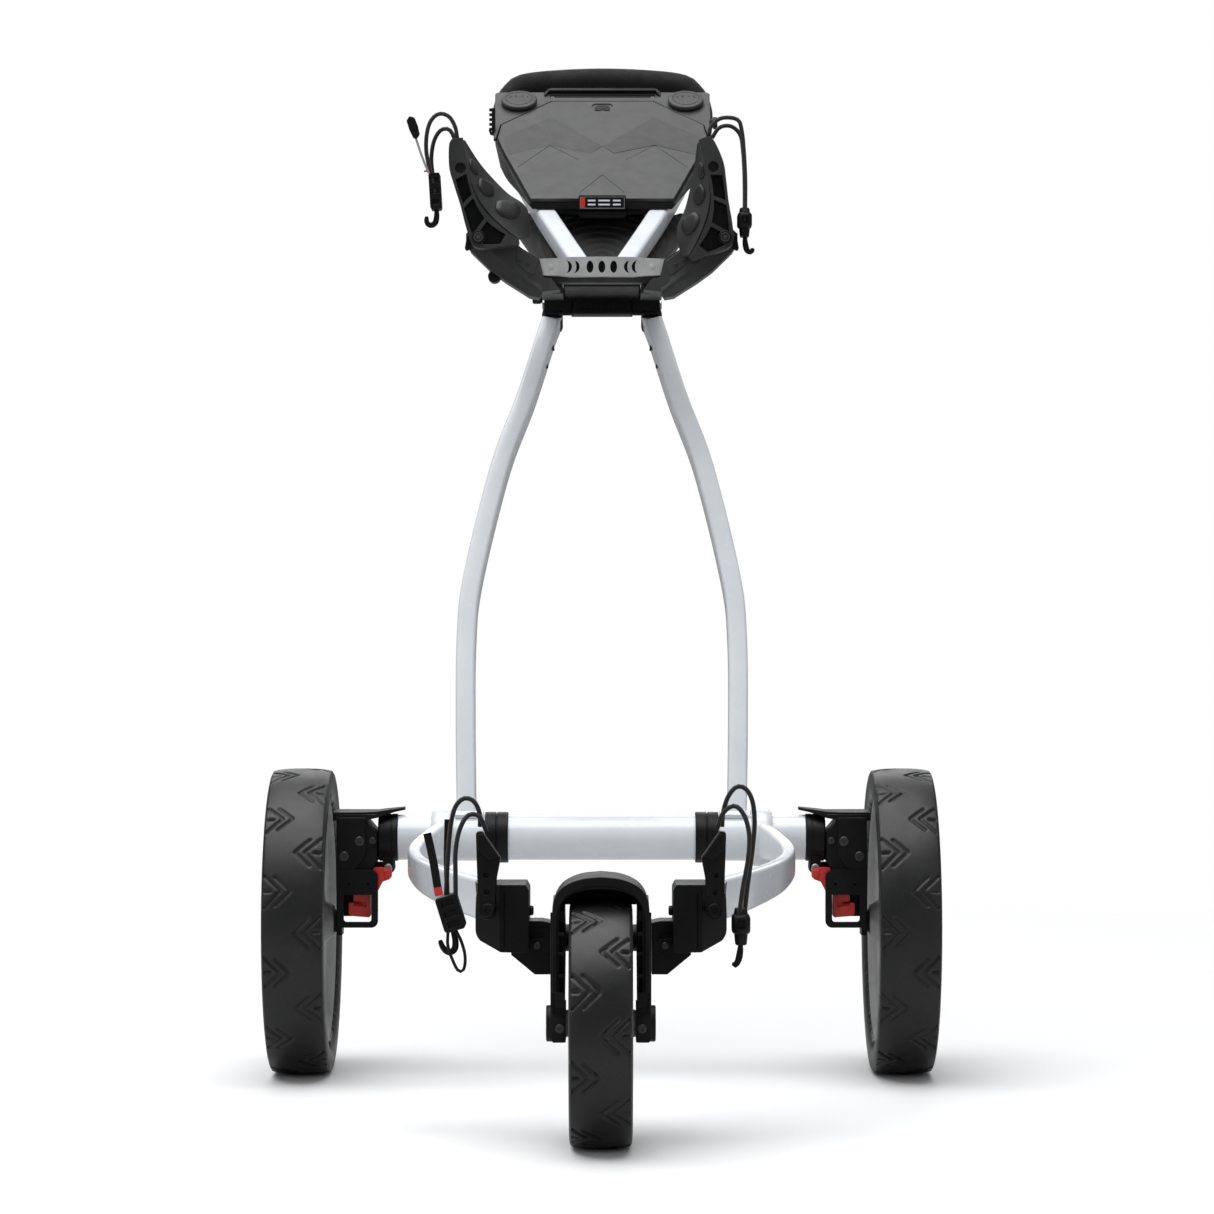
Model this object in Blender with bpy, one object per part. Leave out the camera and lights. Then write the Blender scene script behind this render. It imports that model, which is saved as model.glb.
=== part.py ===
"""Three-wheeled folding golf push trolley.

Metres, +Z up, the trolley faces -Y and +X is on the viewer's right from in front.
Lengths along Y are measured from the rear axle, and AXLE_Y shifts them so that
the trolley stands centred on the origin.
"""

import math

import bmesh
import bpy
import numpy as np
from mathutils import Matrix, Vector

# Driving dimensions
AXLE_Y = 0.00746
GAP = 0.0003

WHEEL_RADIUS = 0.145
WHEEL_X = 0.28475
TYRE_HALF_WIDTH = 0.029
RIM_RADIUS = 0.1177
WHEEL_STUB_RADIUS = 0.006

FRONT_WHEEL_RADIUS = 0.102
FRONT_WHEEL_Y = -0.540
FRONT_TYRE_HALF_WIDTH = 0.026
FRONT_RIM_RADIUS = 0.0777

AXLE_Z = 0.2245
AXLE_RADIUS = 0.0215
AXLE_BORE = 0.0218
AXLE_HALF_LENGTH = 0.1937
END_COLLAR_RADIUS = 0.0225
END_COLLAR_X = (0.1940, 0.2124)
PIVOT_COLLAR_RADIUS = 0.0242
PIVOT_COLLAR_X = (0.0890, 0.1110)

FOLD_PIN_X = 0.2030
FOLD_PIN_Z = 0.1960
FOLD_PIN_RADIUS = 0.0030
COVER_THICKNESS = 0.0032

FORK_PIN_Y = -0.430
FORK_PIN_Z = 0.1635
FORK_PIN_RADIUS = 0.0050

JOINT_Y = 0.190
JOINT_Z = 0.746
JOINT_PIN_RADIUS = 0.0050
JOINT_RADIUS = 0.0120
NECK_RELIEF = 0.0245

MAIN_TUBE_WIDTH = 0.0185
MAIN_TUBE_DEPTH = 0.0300
HANDLE_TUBE_WIDTH = 0.0300
HANDLE_TUBE_DEPTH = 0.0200

CONSOLE_Y = 0.370
CONSOLE_Z = 0.869
CONSOLE_SLOPE = math.radians(34.8)
LID_THICKNESS = 0.0040
LID_HINGE_S = 0.2195

BAG_ARM_PIVOT = (0.1180, 0.7976)
BAG_ARM_RIGHT_TURN = math.radians(13.0)
EAR_PIVOT = (0.0945, 0.1910)
CORD_RADIUS = 0.0020


# Materials
def material(name, colour, roughness, metallic=0.0):
    made = bpy.data.materials.new(name)
    made.use_nodes = True
    shader = made.node_tree.nodes["Principled BSDF"]
    shader.inputs["Base Color"].default_value = (*colour, 1.0)
    shader.inputs["Roughness"].default_value = roughness
    shader.inputs["Metallic"].default_value = metallic
    return made


for old in list(bpy.data.objects):
    bpy.data.objects.remove(old)

WHITE_PAINT = material("white_paint", (0.80, 0.83, 0.87), 0.28)
BLACK_PLASTIC = material("black_plastic", (0.018, 0.018, 0.020), 0.42)
CONSOLE_GREY = material("console_grey", (0.085, 0.085, 0.088), 0.48)
RUBBER = material("tyre_rubber", (0.030, 0.030, 0.032), 0.62)
RIM_GREY = material("rim_grey", (0.50, 0.50, 0.51), 0.45)
LEVER_RED = material("lever_red", (0.62, 0.035, 0.040), 0.35)
FOAM = material("grip_foam", (0.012, 0.012, 0.012), 0.90)
BAR_GREY = material("bar_grey", (0.26, 0.26, 0.27), 0.60)
STEEL = material("steel", (0.55, 0.56, 0.58), 0.30, 1.0)
NET = material("pouch_net", (0.015, 0.015, 0.016), 0.85)
CORD = material("elastic_cord", (0.010, 0.010, 0.011), 0.70)


# Builders
def new_object(name, points, faces, paint, pivot=(0.0, 0.0, 0.0), smooth=False):
    """A mesh object from points measured from the rear axle, its origin at pivot."""
    shift = Vector((0.0, AXLE_Y, 0.0))
    origin = Vector(pivot) + shift
    mesh = bpy.data.meshes.new(name)
    mesh.from_pydata([Vector(p) + shift - origin for p in points], [], faces)
    shell = bmesh.new()
    shell.from_mesh(mesh)
    bmesh.ops.recalc_face_normals(shell, faces=shell.faces)
    for face in shell.faces:
        face.smooth = smooth
    shell.to_mesh(mesh)
    shell.free()
    if paint:
        mesh.materials.append(paint)
    made = bpy.data.objects.new(name, mesh)
    made.location = origin
    bpy.context.scene.collection.objects.link(made)
    return made


def helper(made):
    made.hide_render = True
    made.display_type = "WIRE"
    return made


def combine(target, other, operation):
    step = target.modifiers.new(operation.lower(), "BOOLEAN")
    step.operation = operation
    step.solver = "EXACT"
    step.object = helper(other)
    return target


def cut(target, *others):
    for other in others:
        combine(target, other, "DIFFERENCE")
    return target


def join(target, *others):
    for other in others:
        combine(target, other, "UNION")
    return target


def tube_faces(rings, corners, closed_ends=True):
    faces = []
    for r in range(rings - 1):
        for c in range(corners):
            following = (c + 1) % corners
            low = r * corners
            high = low + corners
            faces.append((low + c, low + following, high + following, high + c))
    if closed_ends:
        faces.append(tuple(range(corners)))
        faces.append(tuple(range((rings - 1) * corners, rings * corners)))
    return faces


def prism(name, outline, axis, low, high, paint=None, pivot=(0.0, 0.0, 0.0)):
    """Outline extruded along one axis, its pairs being the other two in order."""
    place = {
        "X": lambda a, b, c: (c, a, b),
        "Y": lambda a, b, c: (a, c, b),
        "Z": lambda a, b, c: (a, b, c),
    }[axis]
    points = [place(a, b, level) for level in (low, high) for a, b in outline]
    return new_object(name, points, tube_faces(2, len(outline)), paint, pivot)


def block(name, low, high, paint=None, pivot=(0.0, 0.0, 0.0)):
    outline = [
        (low[0], low[1]),
        (high[0], low[1]),
        (high[0], high[1]),
        (low[0], high[1]),
    ]
    return prism(name, outline, "Z", low[2], high[2], paint, pivot)


def lathe(name, profile, centre, axis, paint=None, segments=48, closed=True):
    """Profile of (along, radius) pairs turned about the axis through centre.

    A closed profile is a ring, and an open one starts and ends on the axis.
    """
    along = Vector(axis).normalized()
    side = along.orthogonal().normalized()
    if abs(along.z) < 0.5:
        side = (Vector((0.0, 0.0, 1.0)) - along * along.z).normalized()
    other = along.cross(side)
    body = profile if closed else profile[1:-1]
    points = []
    for step in range(segments):
        turn = math.tau * step / segments
        outward = side * math.cos(turn) + other * math.sin(turn)
        points += [Vector(centre) + along * u + outward * r for u, r in body]
    count = len(body)
    faces = []
    for step in range(segments):
        here = step * count
        there = ((step + 1) % segments) * count
        for i in range(count if closed else count - 1):
            j = (i + 1) % count
            faces.append((here + i, here + j, there + j, there + i))
    if not closed:
        first = len(points)
        points += [Vector(centre) + along * profile[i][0] for i in (0, -1)]
        for step in range(segments):
            here = step * count
            there = ((step + 1) % segments) * count
            faces.append((first, here, there))
            faces.append((first + 1, there + count - 1, here + count - 1))
    return new_object(name, points, faces, paint, centre, smooth=True)


def cylinder(name, centre, axis, low, high, radius, paint=None, segments=32):
    profile = [(low, 0.0), (low, radius), (high, radius), (high, 0.0)]
    return lathe(name, profile, centre, axis, paint, segments, closed=False)


def smooth_path(knots, step):
    """Evenly spaced points of a Catmull-Rom curve through the knots."""
    ends = [2 * Vector(knots[0]) - Vector(knots[1])]
    ends += [Vector(k) for k in knots]
    ends.append(2 * Vector(knots[-1]) - Vector(knots[-2]))
    fine = []
    for i in range(1, len(ends) - 2):
        a, b, c, d = ends[i - 1 : i + 3]
        for k in range(24):
            t = k / 24
            fine.append(
                0.5
                * (
                    2 * b
                    + (c - a) * t
                    + (2 * a - 5 * b + 4 * c - d) * t**2
                    + (3 * b - a - 3 * c + d) * t**3
                )
            )
    fine.append(ends[-2])
    lengths = [0.0]
    for a, b in zip(fine, fine[1:]):
        lengths.append(lengths[-1] + (b - a).length)
    count = max(2, round(lengths[-1] / step))
    path = []
    at = 0
    for k in range(count + 1):
        want = lengths[-1] * k / count
        while at < len(fine) - 2 and lengths[at + 1] < want:
            at += 1
        span = lengths[at + 1] - lengths[at] or 1.0
        share = min(1.0, max(0.0, (want - lengths[at]) / span))
        path.append(fine[at].lerp(fine[at + 1], share))
    return path


def rounded_section(width, height, radius, steps=3):
    """Corners of a rounded rectangle, as (side, up) pairs."""
    corners = [
        (width / 2 - radius, height / 2 - radius, 0),
        (-width / 2 + radius, height / 2 - radius, 1),
        (-width / 2 + radius, -height / 2 + radius, 2),
        (width / 2 - radius, -height / 2 + radius, 3),
    ]
    section = []
    for x, y, quarter in corners:
        for k in range(steps + 1):
            turn = math.pi / 2 * (quarter + k / steps)
            section.append((x + radius * math.cos(turn), y + radius * math.sin(turn)))
    return section


def round_section(radius, steps=16):
    turns = [math.tau * k / steps for k in range(steps)]
    return [(radius * math.cos(t), radius * math.sin(t)) for t in turns]


def sweep(
    name, path, sections, paint, side, pivot=(0, 0, 0), flat_ends=(), carried=False
):
    """Sections carried along a path, their first coordinate lying along side.

    carried lets side turn with the path, for one that bends every way.
    flat_ends gives the plane of an end, so that it meets its neighbour squarely.
    """
    points = []
    last = len(path) - 1
    across = Vector(side)
    for i, point in enumerate(path):
        tangent = (path[min(i + 1, last)] - path[max(i - 1, 0)]).normalized()
        if not carried:
            across = Vector(side)
        across = (across - tangent * tangent.dot(across)).normalized()
        up = tangent.cross(across)
        section = sections[i] if isinstance(sections[0], list) else sections
        ring = [point + across * a + up * b for a, b in section]
        for index, normal in flat_ends:
            if index % len(path) != i:
                continue
            normal = Vector(normal)
            ring = [
                p - tangent * ((p - point).dot(normal) / tangent.dot(normal))
                for p in ring
            ]
        points += ring
    corners = len(points) // len(path)
    return new_object(
        name, points, tube_faces(len(path), corners), paint, pivot, smooth=True
    )


def mirrored(points):
    return [(-p[0], *p[1:]) for p in points]


def sided(outline, sign):
    return [(sign * a, b) for a, b in outline]


SIDES = (("left", -1), ("right", 1))


# Rear axle
axle_profile = [
    (-AXLE_HALF_LENGTH, AXLE_RADIUS),
    (AXLE_HALF_LENGTH, AXLE_RADIUS),
    (AXLE_HALF_LENGTH, AXLE_RADIUS - 0.0025),
    (-AXLE_HALF_LENGTH, AXLE_RADIUS - 0.0025),
]
lathe("axle_tube", axle_profile, (0.0, 0.0, AXLE_Z), (1, 0, 0), WHITE_PAINT, 40)

for side_name, sign in SIDES:
    low, high = END_COLLAR_X
    plug = AXLE_RADIUS - 0.0025 - GAP
    collar = lathe(
        "axle_end_collar_" + side_name,
        [
            (low - 0.030, 0.0),
            (low - 0.030, plug),
            (low, plug),
            (low, END_COLLAR_RADIUS),
            (high - 0.001, END_COLLAR_RADIUS),
            (high, END_COLLAR_RADIUS - 0.001),
            (high, 0.0),
        ],
        (0.0, 0.0, AXLE_Z),
        (sign, 0, 0),
        BLACK_PLASTIC,
        40,
        closed=False,
    )
    lug = [
        (FOLD_PIN_X - 0.0045, FOLD_PIN_Z + 0.012),
        (FOLD_PIN_X - 0.0060, FOLD_PIN_Z),
        (FOLD_PIN_X - 0.0030, FOLD_PIN_Z - 0.0055),
        (FOLD_PIN_X + 0.0030, FOLD_PIN_Z - 0.0055),
        (FOLD_PIN_X + 0.0060, FOLD_PIN_Z),
        (FOLD_PIN_X + 0.0045, FOLD_PIN_Z + 0.012),
    ]
    join(
        collar,
        prism("lug_front_" + side_name, sided(lug, sign), "Y", -0.0150, -0.0080),
        prism("lug_back_" + side_name, sided(lug, sign), "Y", 0.0080, 0.0150),
        cylinder(
            "fold_pin_" + side_name,
            (sign * FOLD_PIN_X, 0.0, FOLD_PIN_Z),
            (0, 1, 0),
            -0.0120,
            0.0120,
            FOLD_PIN_RADIUS,
            segments=16,
        ),
    )
    low, high = PIVOT_COLLAR_X
    lathe(
        "pivot_collar_" + side_name,
        [
            (low, AXLE_BORE),
            (low, PIVOT_COLLAR_RADIUS - 0.0008),
            (low + 0.0008, PIVOT_COLLAR_RADIUS),
            ((low + high) / 2 - 0.0006, PIVOT_COLLAR_RADIUS),
            ((low + high) / 2, PIVOT_COLLAR_RADIUS - 0.0006),
            ((low + high) / 2 + 0.0006, PIVOT_COLLAR_RADIUS),
            (high - 0.0008, PIVOT_COLLAR_RADIUS),
            (high, PIVOT_COLLAR_RADIUS - 0.0008),
            (high, AXLE_BORE),
        ],
        (0.0, 0.0, AXLE_Z),
        (sign, 0, 0),
        BLACK_PLASTIC,
        32,
    )

# Lower frame arms: (x, y, bottom, top)
ARM_STATIONS = [
    (0.1535, -0.0210, 0.2050, 0.2400),
    (0.1665, -0.0600, 0.2030, 0.2310),
    (0.1725, -0.1100, 0.2000, 0.2250),
    (0.1690, -0.1800, 0.1940, 0.2215),
    (0.1545, -0.2600, 0.1870, 0.2190),
    (0.1275, -0.3400, 0.1800, 0.2155),
    (0.0990, -0.3995, 0.1745, 0.2120),
]
ARM_THICKNESS = 0.0120
for side_name, sign in SIDES:
    path = smooth_path(
        [(sign * x, y, (b + t) / 2) for x, y, b, t in ARM_STATIONS], 0.030
    )
    sections = []
    for point in path:
        height = np.interp(
            -point.y,
            [-y for x, y, b, t in ARM_STATIONS],
            [t - b for x, y, b, t in ARM_STATIONS],
        )
        sections.append(rounded_section(ARM_THICKNESS, float(height), 0.0035, 2))
    arm = sweep(
        "lower_frame_arm_" + side_name,
        path,
        sections,
        WHITE_PAINT,
        (sign, 0, 0),
        flat_ends=((-1, (0, 1, 0)),),
    )
    shell_profile = [
        (0.1420, 0.0100),
        (0.1420, 0.0262),
        (0.1445, 0.0275),
        (0.1560, 0.0275),
        (0.1620, 0.0240),
        (0.1620, 0.0100),
    ]
    shell = lathe(
        "axle_saddle_" + side_name,
        shell_profile,
        (0.0, 0.0, AXLE_Z),
        (sign, 0, 0),
        segments=40,
    )
    bore = cylinder(
        "axle_bore_" + side_name,
        (0.0, 0.0, AXLE_Z),
        (sign, 0, 0),
        0.1300,
        0.1900,
        AXLE_BORE,
        segments=40,
    )
    cut(join(arm, shell), bore)

# Lower bag bracket, with the fork pivot between its cheeks
BOX_Y = (-0.4720, -0.4000)
for side_name, sign in SIDES:
    outline = [
        (0.0605, 0.1560),
        (0.0605, 0.2060),
        (0.0640, 0.2115),
        (0.0886, 0.2115),
        (0.0960, 0.2060),
        (0.1045, 0.2050),
        (0.1060, 0.1900),
        (0.1055, 0.1760),
        (0.0990, 0.1640),
        (0.0840, 0.1540),
        (0.0640, 0.1540),
    ]
    box = prism(
        "lower_bag_bracket_" + side_name,
        sided(outline, sign),
        "Y",
        BOX_Y[0],
        BOX_Y[1] - GAP,
        BLACK_PLASTIC,
    )
    x, z = EAR_PIVOT
    ear_pin = cylinder(
        "ear_pin_" + side_name,
        (sign * x, BOX_Y[0], z),
        (0, -1, 0),
        -0.0040,
        0.0160,
        0.0035,
        segments=16,
    )
    cheek_outline = [
        (FORK_PIN_Y - 0.0160, 0.1520),
        (FORK_PIN_Y + 0.0200, 0.1520),
        (FORK_PIN_Y + 0.0200, 0.1750),
        (FORK_PIN_Y - 0.0160, 0.1750),
    ]
    cheek = prism(
        "crossbar_cheek_" + side_name,
        cheek_outline,
        "X",
        sign * 0.0465,
        sign * 0.0650,
    )
    gusset_outline = [
        (0.0462, 0.1330),
        (0.0560, 0.1330),
        (0.0740, 0.1500),
        (0.0740, 0.1580),
        (0.0462, 0.1580),
    ]
    gusset = prism(
        "gusset_" + side_name,
        sided(gusset_outline, sign),
        "Y",
        FORK_PIN_Y - 0.0140,
        FORK_PIN_Y + 0.0180,
    )
    pin_hole = cylinder(
        "cheek_bore_" + side_name,
        (0.0, FORK_PIN_Y, FORK_PIN_Z),
        (sign, 0, 0),
        0.0400,
        0.0602,
        FORK_PIN_RADIUS + GAP,
        segments=24,
    )
    cut(join(box, ear_pin, cheek, gusset), pin_hole)

cylinder(
    "fork_pivot_pin",
    (0.0, FORK_PIN_Y, FORK_PIN_Z),
    (1, 0, 0),
    -0.0600,
    0.0600,
    FORK_PIN_RADIUS,
    STEEL,
    24,
)

# Front fork
fork_pivot = (0.0, FORK_PIN_Y, FORK_PIN_Z)
ARCH_OUTER = [
    (-0.0395, 0.1300),
    (-0.0395, 0.1960),
    (-0.0370, 0.2070),
    (-0.0290, 0.2160),
    (-0.0150, 0.2225),
    (0.0, 0.2240),
]
ARCH_INNER = [
    (-0.0335, 0.1300),
    (-0.0335, 0.1945),
    (-0.0315, 0.2020),
    (-0.0250, 0.2090),
    (-0.0130, 0.2130),
    (0.0, 0.2140),
]
arch = ARCH_OUTER + mirrored(ARCH_OUTER[-2::-1])
arch += mirrored(ARCH_INNER)[:-1] + ARCH_INNER[::-1]
fork = prism("front_fork", arch, "Y", -0.5720, -0.4850, BLACK_PLASTIC, fork_pivot)
LEG = [
    (FRONT_WHEEL_Y - 0.0145, 0.0930),
    (FRONT_WHEEL_Y - 0.0060, 0.0865),
    (FRONT_WHEEL_Y + 0.0120, 0.0880),
    (FORK_PIN_Y - 0.0150, 0.1480),
    (FORK_PIN_Y + 0.0070, 0.1540),
    (FORK_PIN_Y + 0.0115, 0.1640),
    (FORK_PIN_Y + 0.0060, 0.1740),
    (FORK_PIN_Y - 0.0150, 0.1790),
    (-0.4780, 0.1990),
    (-0.4900, 0.2040),
    (-0.5650, 0.1960),
    (-0.5690, 0.1400),
    (FRONT_WHEEL_Y - 0.0175, 0.1100),
]
for side_name, sign in SIDES:
    join(
        fork,
        prism("leg_" + side_name, LEG, "X", sign * 0.0338, sign * 0.0400),
        cylinder(
            "axle_boss_" + side_name,
            (0.0, FRONT_WHEEL_Y, FRONT_WHEEL_RADIUS),
            (sign, 0, 0),
            0.0300,
            0.0450,
            0.0150,
            segments=24,
        ),
    )
join(
    fork,
    cylinder("fork_barrel", fork_pivot, (1, 0, 0), -0.0345, 0.0345, 0.0115, segments=24),
)
cut(
    fork,
    cylinder(
        "fork_bore", fork_pivot, (1, 0, 0), -0.07, 0.07, FORK_PIN_RADIUS + GAP, segments=24
    ),
    cylinder(
        "front_axle_bore",
        (0.0, FRONT_WHEEL_Y, FRONT_WHEEL_RADIUS),
        (1, 0, 0),
        -0.0700,
        0.0700,
        0.0050 + GAP,
        segments=24,
    ),
)
cylinder(
    "front_axle_bolt",
    (0.0, FRONT_WHEEL_Y, FRONT_WHEEL_RADIUS),
    (1, 0, 0),
    -0.0450,
    0.0450,
    0.0050,
    STEEL,
    24,
)


# Wheels
def tyre_profile(half, inner, outer):
    """Crowned tread with rounded shoulders, as (along, radius) pairs."""
    wall = outer - inner
    right = [
        (half * 0.84, inner),
        (half * 0.95, inner + wall * 0.20),
        (half * 1.00, inner + wall * 0.48),
        (half * 0.98, inner + wall * 0.70),
        (half * 0.86, inner + wall * 0.87),
        (half * 0.60, inner + wall * 0.965),
        (half * 0.30, outer - 0.0002),
        (0.0, outer),
    ]
    return right + [(-a, r) for a, r in right[-2::-1]]


def rim_profile(half, radius, hub, bore, reach):
    """Dished disc with a stepped hub, closed at its outer end."""
    return [
        (half * 1.02, 0.0),
        (half * 1.02, hub * 0.80),
        (half * 0.95, hub),
        (half * 0.45, hub * 1.15),
        (half * 0.40, radius * 0.86),
        (half * 0.78, radius * 0.93),
        (half * 0.82, radius),
        (-half * 0.82, radius),
        (-half * 0.80, radius * 0.955),
        (-half * 0.62, radius * 0.93),
        (-half * 0.52, radius * 0.40),
        (-half * 0.70, hub * 1.15),
        (-reach, hub * 0.75),
        (-reach, bore),
        (half * 0.55, bore),
        (half * 0.55, 0.0),
    ]


for side_name, sign in SIDES:
    centre = (sign * WHEEL_X, 0.0, WHEEL_RADIUS)
    lathe(
        "rear_tyre_" + side_name,
        tyre_profile(TYRE_HALF_WIDTH, RIM_RADIUS + GAP, WHEEL_RADIUS),
        centre,
        (sign, 0, 0),
        RUBBER,
        48,
    )
    lathe(
        "rear_rim_" + side_name,
        rim_profile(TYRE_HALF_WIDTH, RIM_RADIUS, 0.0190, WHEEL_STUB_RADIUS + GAP, 0.0325),
        centre,
        (sign, 0, 0),
        RIM_GREY,
        40,
        closed=False,
    )

front_centre = (0.0, FRONT_WHEEL_Y, FRONT_WHEEL_RADIUS)
lathe(
    "front_tyre",
    tyre_profile(FRONT_TYRE_HALF_WIDTH, FRONT_RIM_RADIUS + GAP, FRONT_WHEEL_RADIUS),
    front_centre,
    (1, 0, 0),
    RUBBER,
    40,
)
front_rim = [
    (0.0290, 0.0050 + GAP),
    (0.0290, 0.0110),
    (0.0130, 0.0150),
    (0.0110, FRONT_RIM_RADIUS * 0.84),
    (0.0210, FRONT_RIM_RADIUS * 0.93),
    (0.0215, FRONT_RIM_RADIUS),
]
lathe(
    "front_rim",
    front_rim + [(-a, r) for a, r in front_rim[::-1]],
    front_centre,
    (1, 0, 0),
    RIM_GREY,
    40,
)

# Rear wheel folding carriers, their covers and release levers
for side_name, sign in SIDES:
    pin = (sign * FOLD_PIN_X, 0.0, FOLD_PIN_Z)
    housing = [
        (0.2130, 0.2030),
        (0.2130, 0.2472),
        (0.2510, 0.2472),
        (0.2510, 0.1500),
        (0.2340, 0.1500),
        (0.2340, 0.1780),
        (0.2180, 0.1960),
    ]
    carrier = prism(
        "wheel_carrier_" + side_name,
        sided(housing, sign),
        "Y",
        -0.0300,
        0.0300,
        BLACK_PLASTIC,
        pin,
    )
    frame_outer = [
        (0.2115, 0.1410),
        (0.2500, 0.1410),
        (0.2500, 0.1960),
        (0.2160, 0.1960),
        (0.2115, 0.1900),
    ]
    join(
        carrier,
        prism(
            "lever_guard_" + side_name,
            sided(frame_outer, sign),
            "Y",
            -0.0360,
            -0.0295,
        ),
        block(
            "axle_bar_" + side_name,
            (min(sign * 0.2467, sign * 0.2514), -0.0140, 0.1320),
            (max(sign * 0.2467, sign * 0.2514), 0.0140, 0.2000),
        ),
        cylinder(
            "wheel_stub_" + side_name,
            (0.0, 0.0, WHEEL_RADIUS),
            (sign, 0, 0),
            0.2480,
            0.2950,
            WHEEL_STUB_RADIUS,
            segments=24,
        ),
        cylinder(
            "carrier_knuckle_" + side_name,
            pin,
            (0, 1, 0),
            -0.0077,
            0.0077,
            0.0060,
            segments=24,
        ),
        prism(
            "knuckle_web_" + side_name,
            sided(
                [
                    (0.2050, 0.1905),
                    (0.2200, 0.1905),
                    (0.2200, 0.2010),
                    (0.2050, 0.2010),
                ],
                sign,
            ),
            "Y",
            -0.0077,
            0.0077,
        ),
    )
    window = prism(
        "guard_window_" + side_name,
        sided([(0.2185, 0.1462), (0.2440, 0.1462), (0.2440, 0.1720)], sign)
        + sided([(0.2185, 0.1720)], sign),
        "Y",
        -0.0500,
        -0.0200,
    )
    pocket = block(
        "lever_pocket_" + side_name,
        (min(sign * 0.1900, sign * 0.2460), -0.0294, 0.1430),
        (max(sign * 0.1900, sign * 0.2460), -0.0100, 0.1990),
    )
    pin_bore = cylinder(
        "knuckle_bore_" + side_name,
        pin,
        (0, 1, 0),
        -0.0500,
        0.0500,
        FOLD_PIN_RADIUS + GAP,
        segments=16,
    )
    cut(carrier, window, pocket, pin_bore)

    cover = [
        (0.1870, 0.2505, 0.003),
        (0.2130, 0.2475, 0.020),
        (0.2550, 0.2475, 0.028),
    ]
    points = []
    for x, z, reach in cover:
        points += [
            (sign * x, -reach, z),
            (sign * x, reach, z),
            (sign * x, reach, z + COVER_THICKNESS),
            (sign * x, -reach, z + COVER_THICKNESS),
        ]
    new_object(
        "carrier_cover_" + side_name, points, tube_faces(3, 4), BLACK_PLASTIC, pin
    )

    lever_pivot = (sign * 0.2300, -0.0200, 0.1850)
    lever_low = [
        (0.2185, 0.1520),
        (0.2210, 0.1500),
        (0.2395, 0.1530),
        (0.2395, 0.1620),
        (0.2350, 0.1640),
        (0.2350, 0.1900),
        (0.2180, 0.1900),
        (0.2160, 0.1975),
        (0.2000, 0.1975),
        (0.1990, 0.1860),
        (0.2060, 0.1820),
        (0.2120, 0.1750),
        (0.2185, 0.1720),
    ]
    prism(
        "release_lever_" + side_name,
        sided(lever_low, sign),
        "Y",
        -0.0285,
        -0.0175,
        LEVER_RED,
        lever_pivot,
    )

# Main frame tubes: (x, y, z)
MAIN_TUBE = [
    (0.1290, 0.0080, 0.2440),
    (0.1310, 0.0380, 0.3300),
    (0.1312, 0.0690, 0.4120),
    (0.1256, 0.0896, 0.4703),
    (0.1002, 0.1290, 0.5790),
    (0.0751, 0.1550, 0.6490),
    (0.0565, 0.1767, 0.7090),
    (0.0490, 0.1838, 0.7270),
]
tube_section = rounded_section(MAIN_TUBE_WIDTH, MAIN_TUBE_DEPTH, 0.0070, 3)
for side_name, sign in SIDES:
    knots = [(sign * x, y, z) for x, y, z in MAIN_TUBE]
    tube = sweep(
        "main_tube_" + side_name,
        smooth_path(knots, 0.030),
        tube_section,
        WHITE_PAINT,
        (1, 0, 0),
        (0.0, 0.0, AXLE_Z),
        flat_ends=((-1, (0, 0, 1)),),
    )
    foot = []
    for k in range(13):
        turn = math.radians(-60 + 15 * k)
        foot.append((0.0260 * math.cos(turn), AXLE_Z + 0.0260 * math.sin(turn)))
    for k in range(12, -1, -1):
        turn = math.radians(-60 + 15 * k)
        foot.append((AXLE_BORE * math.cos(turn), AXLE_Z + AXLE_BORE * math.sin(turn)))
    saddle = prism(
        "tube_foot_" + side_name, foot, "X", sign * 0.1125, sign * 0.1395
    )
    keep_out = cylinder(
        "tube_foot_bore_" + side_name,
        (0.0, 0.0, AXLE_Z),
        (sign, 0, 0),
        0.1000,
        0.1500,
        AXLE_BORE,
        segments=40,
    )
    cut(join(tube, saddle), keep_out)

# Upper joint
joint_pivot = (0.0, JOINT_Y, JOINT_Z)
for side_name, sign in SIDES:
    lug_outline = [
        (JOINT_Y - 0.0200, 0.7275),
        (JOINT_Y + 0.0120, 0.7275),
        (JOINT_Y + 0.0140, 0.7400),
        (JOINT_Y + 0.0120, 0.7560),
        (JOINT_Y + 0.0040, 0.7585),
        (JOINT_Y - 0.0200, 0.7585),
    ]
    lug = prism(
        "upper_joint_" + side_name,
        lug_outline,
        "X",
        sign * 0.0310,
        sign * 0.0590,
        BLACK_PLASTIC,
        joint_pivot,
    )
    cut(
        lug,
        cylinder(
            "joint_bore_" + side_name,
            joint_pivot,
            (sign, 0, 0),
            0.0200,
            0.0700,
            JOINT_PIN_RADIUS + GAP,
            segments=24,
        ),
    )
cylinder(
    "upper_joint_pin",
    joint_pivot,
    (1, 0, 0),
    -0.0585,
    0.0585,
    JOINT_PIN_RADIUS,
    STEEL,
    24,
)
barrel = cylinder(
    "handle_hinge_barrel",
    joint_pivot,
    (1, 0, 0),
    -0.0305,
    0.0305,
    JOINT_RADIUS,
    BLACK_PLASTIC,
    32,
)
neck = [
    (JOINT_Y - 0.0060, JOINT_Z + 0.0080),
    (JOINT_Y + 0.0110, JOINT_Z + 0.0030),
    (JOINT_Y + 0.0290, JOINT_Z + 0.0170),
    (JOINT_Y + 0.0230, JOINT_Z + 0.0420),
    (JOINT_Y + 0.0080, JOINT_Z + 0.0360),
]
join(barrel, prism("hinge_neck", neck, "X", -0.0385, 0.0385))
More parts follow.
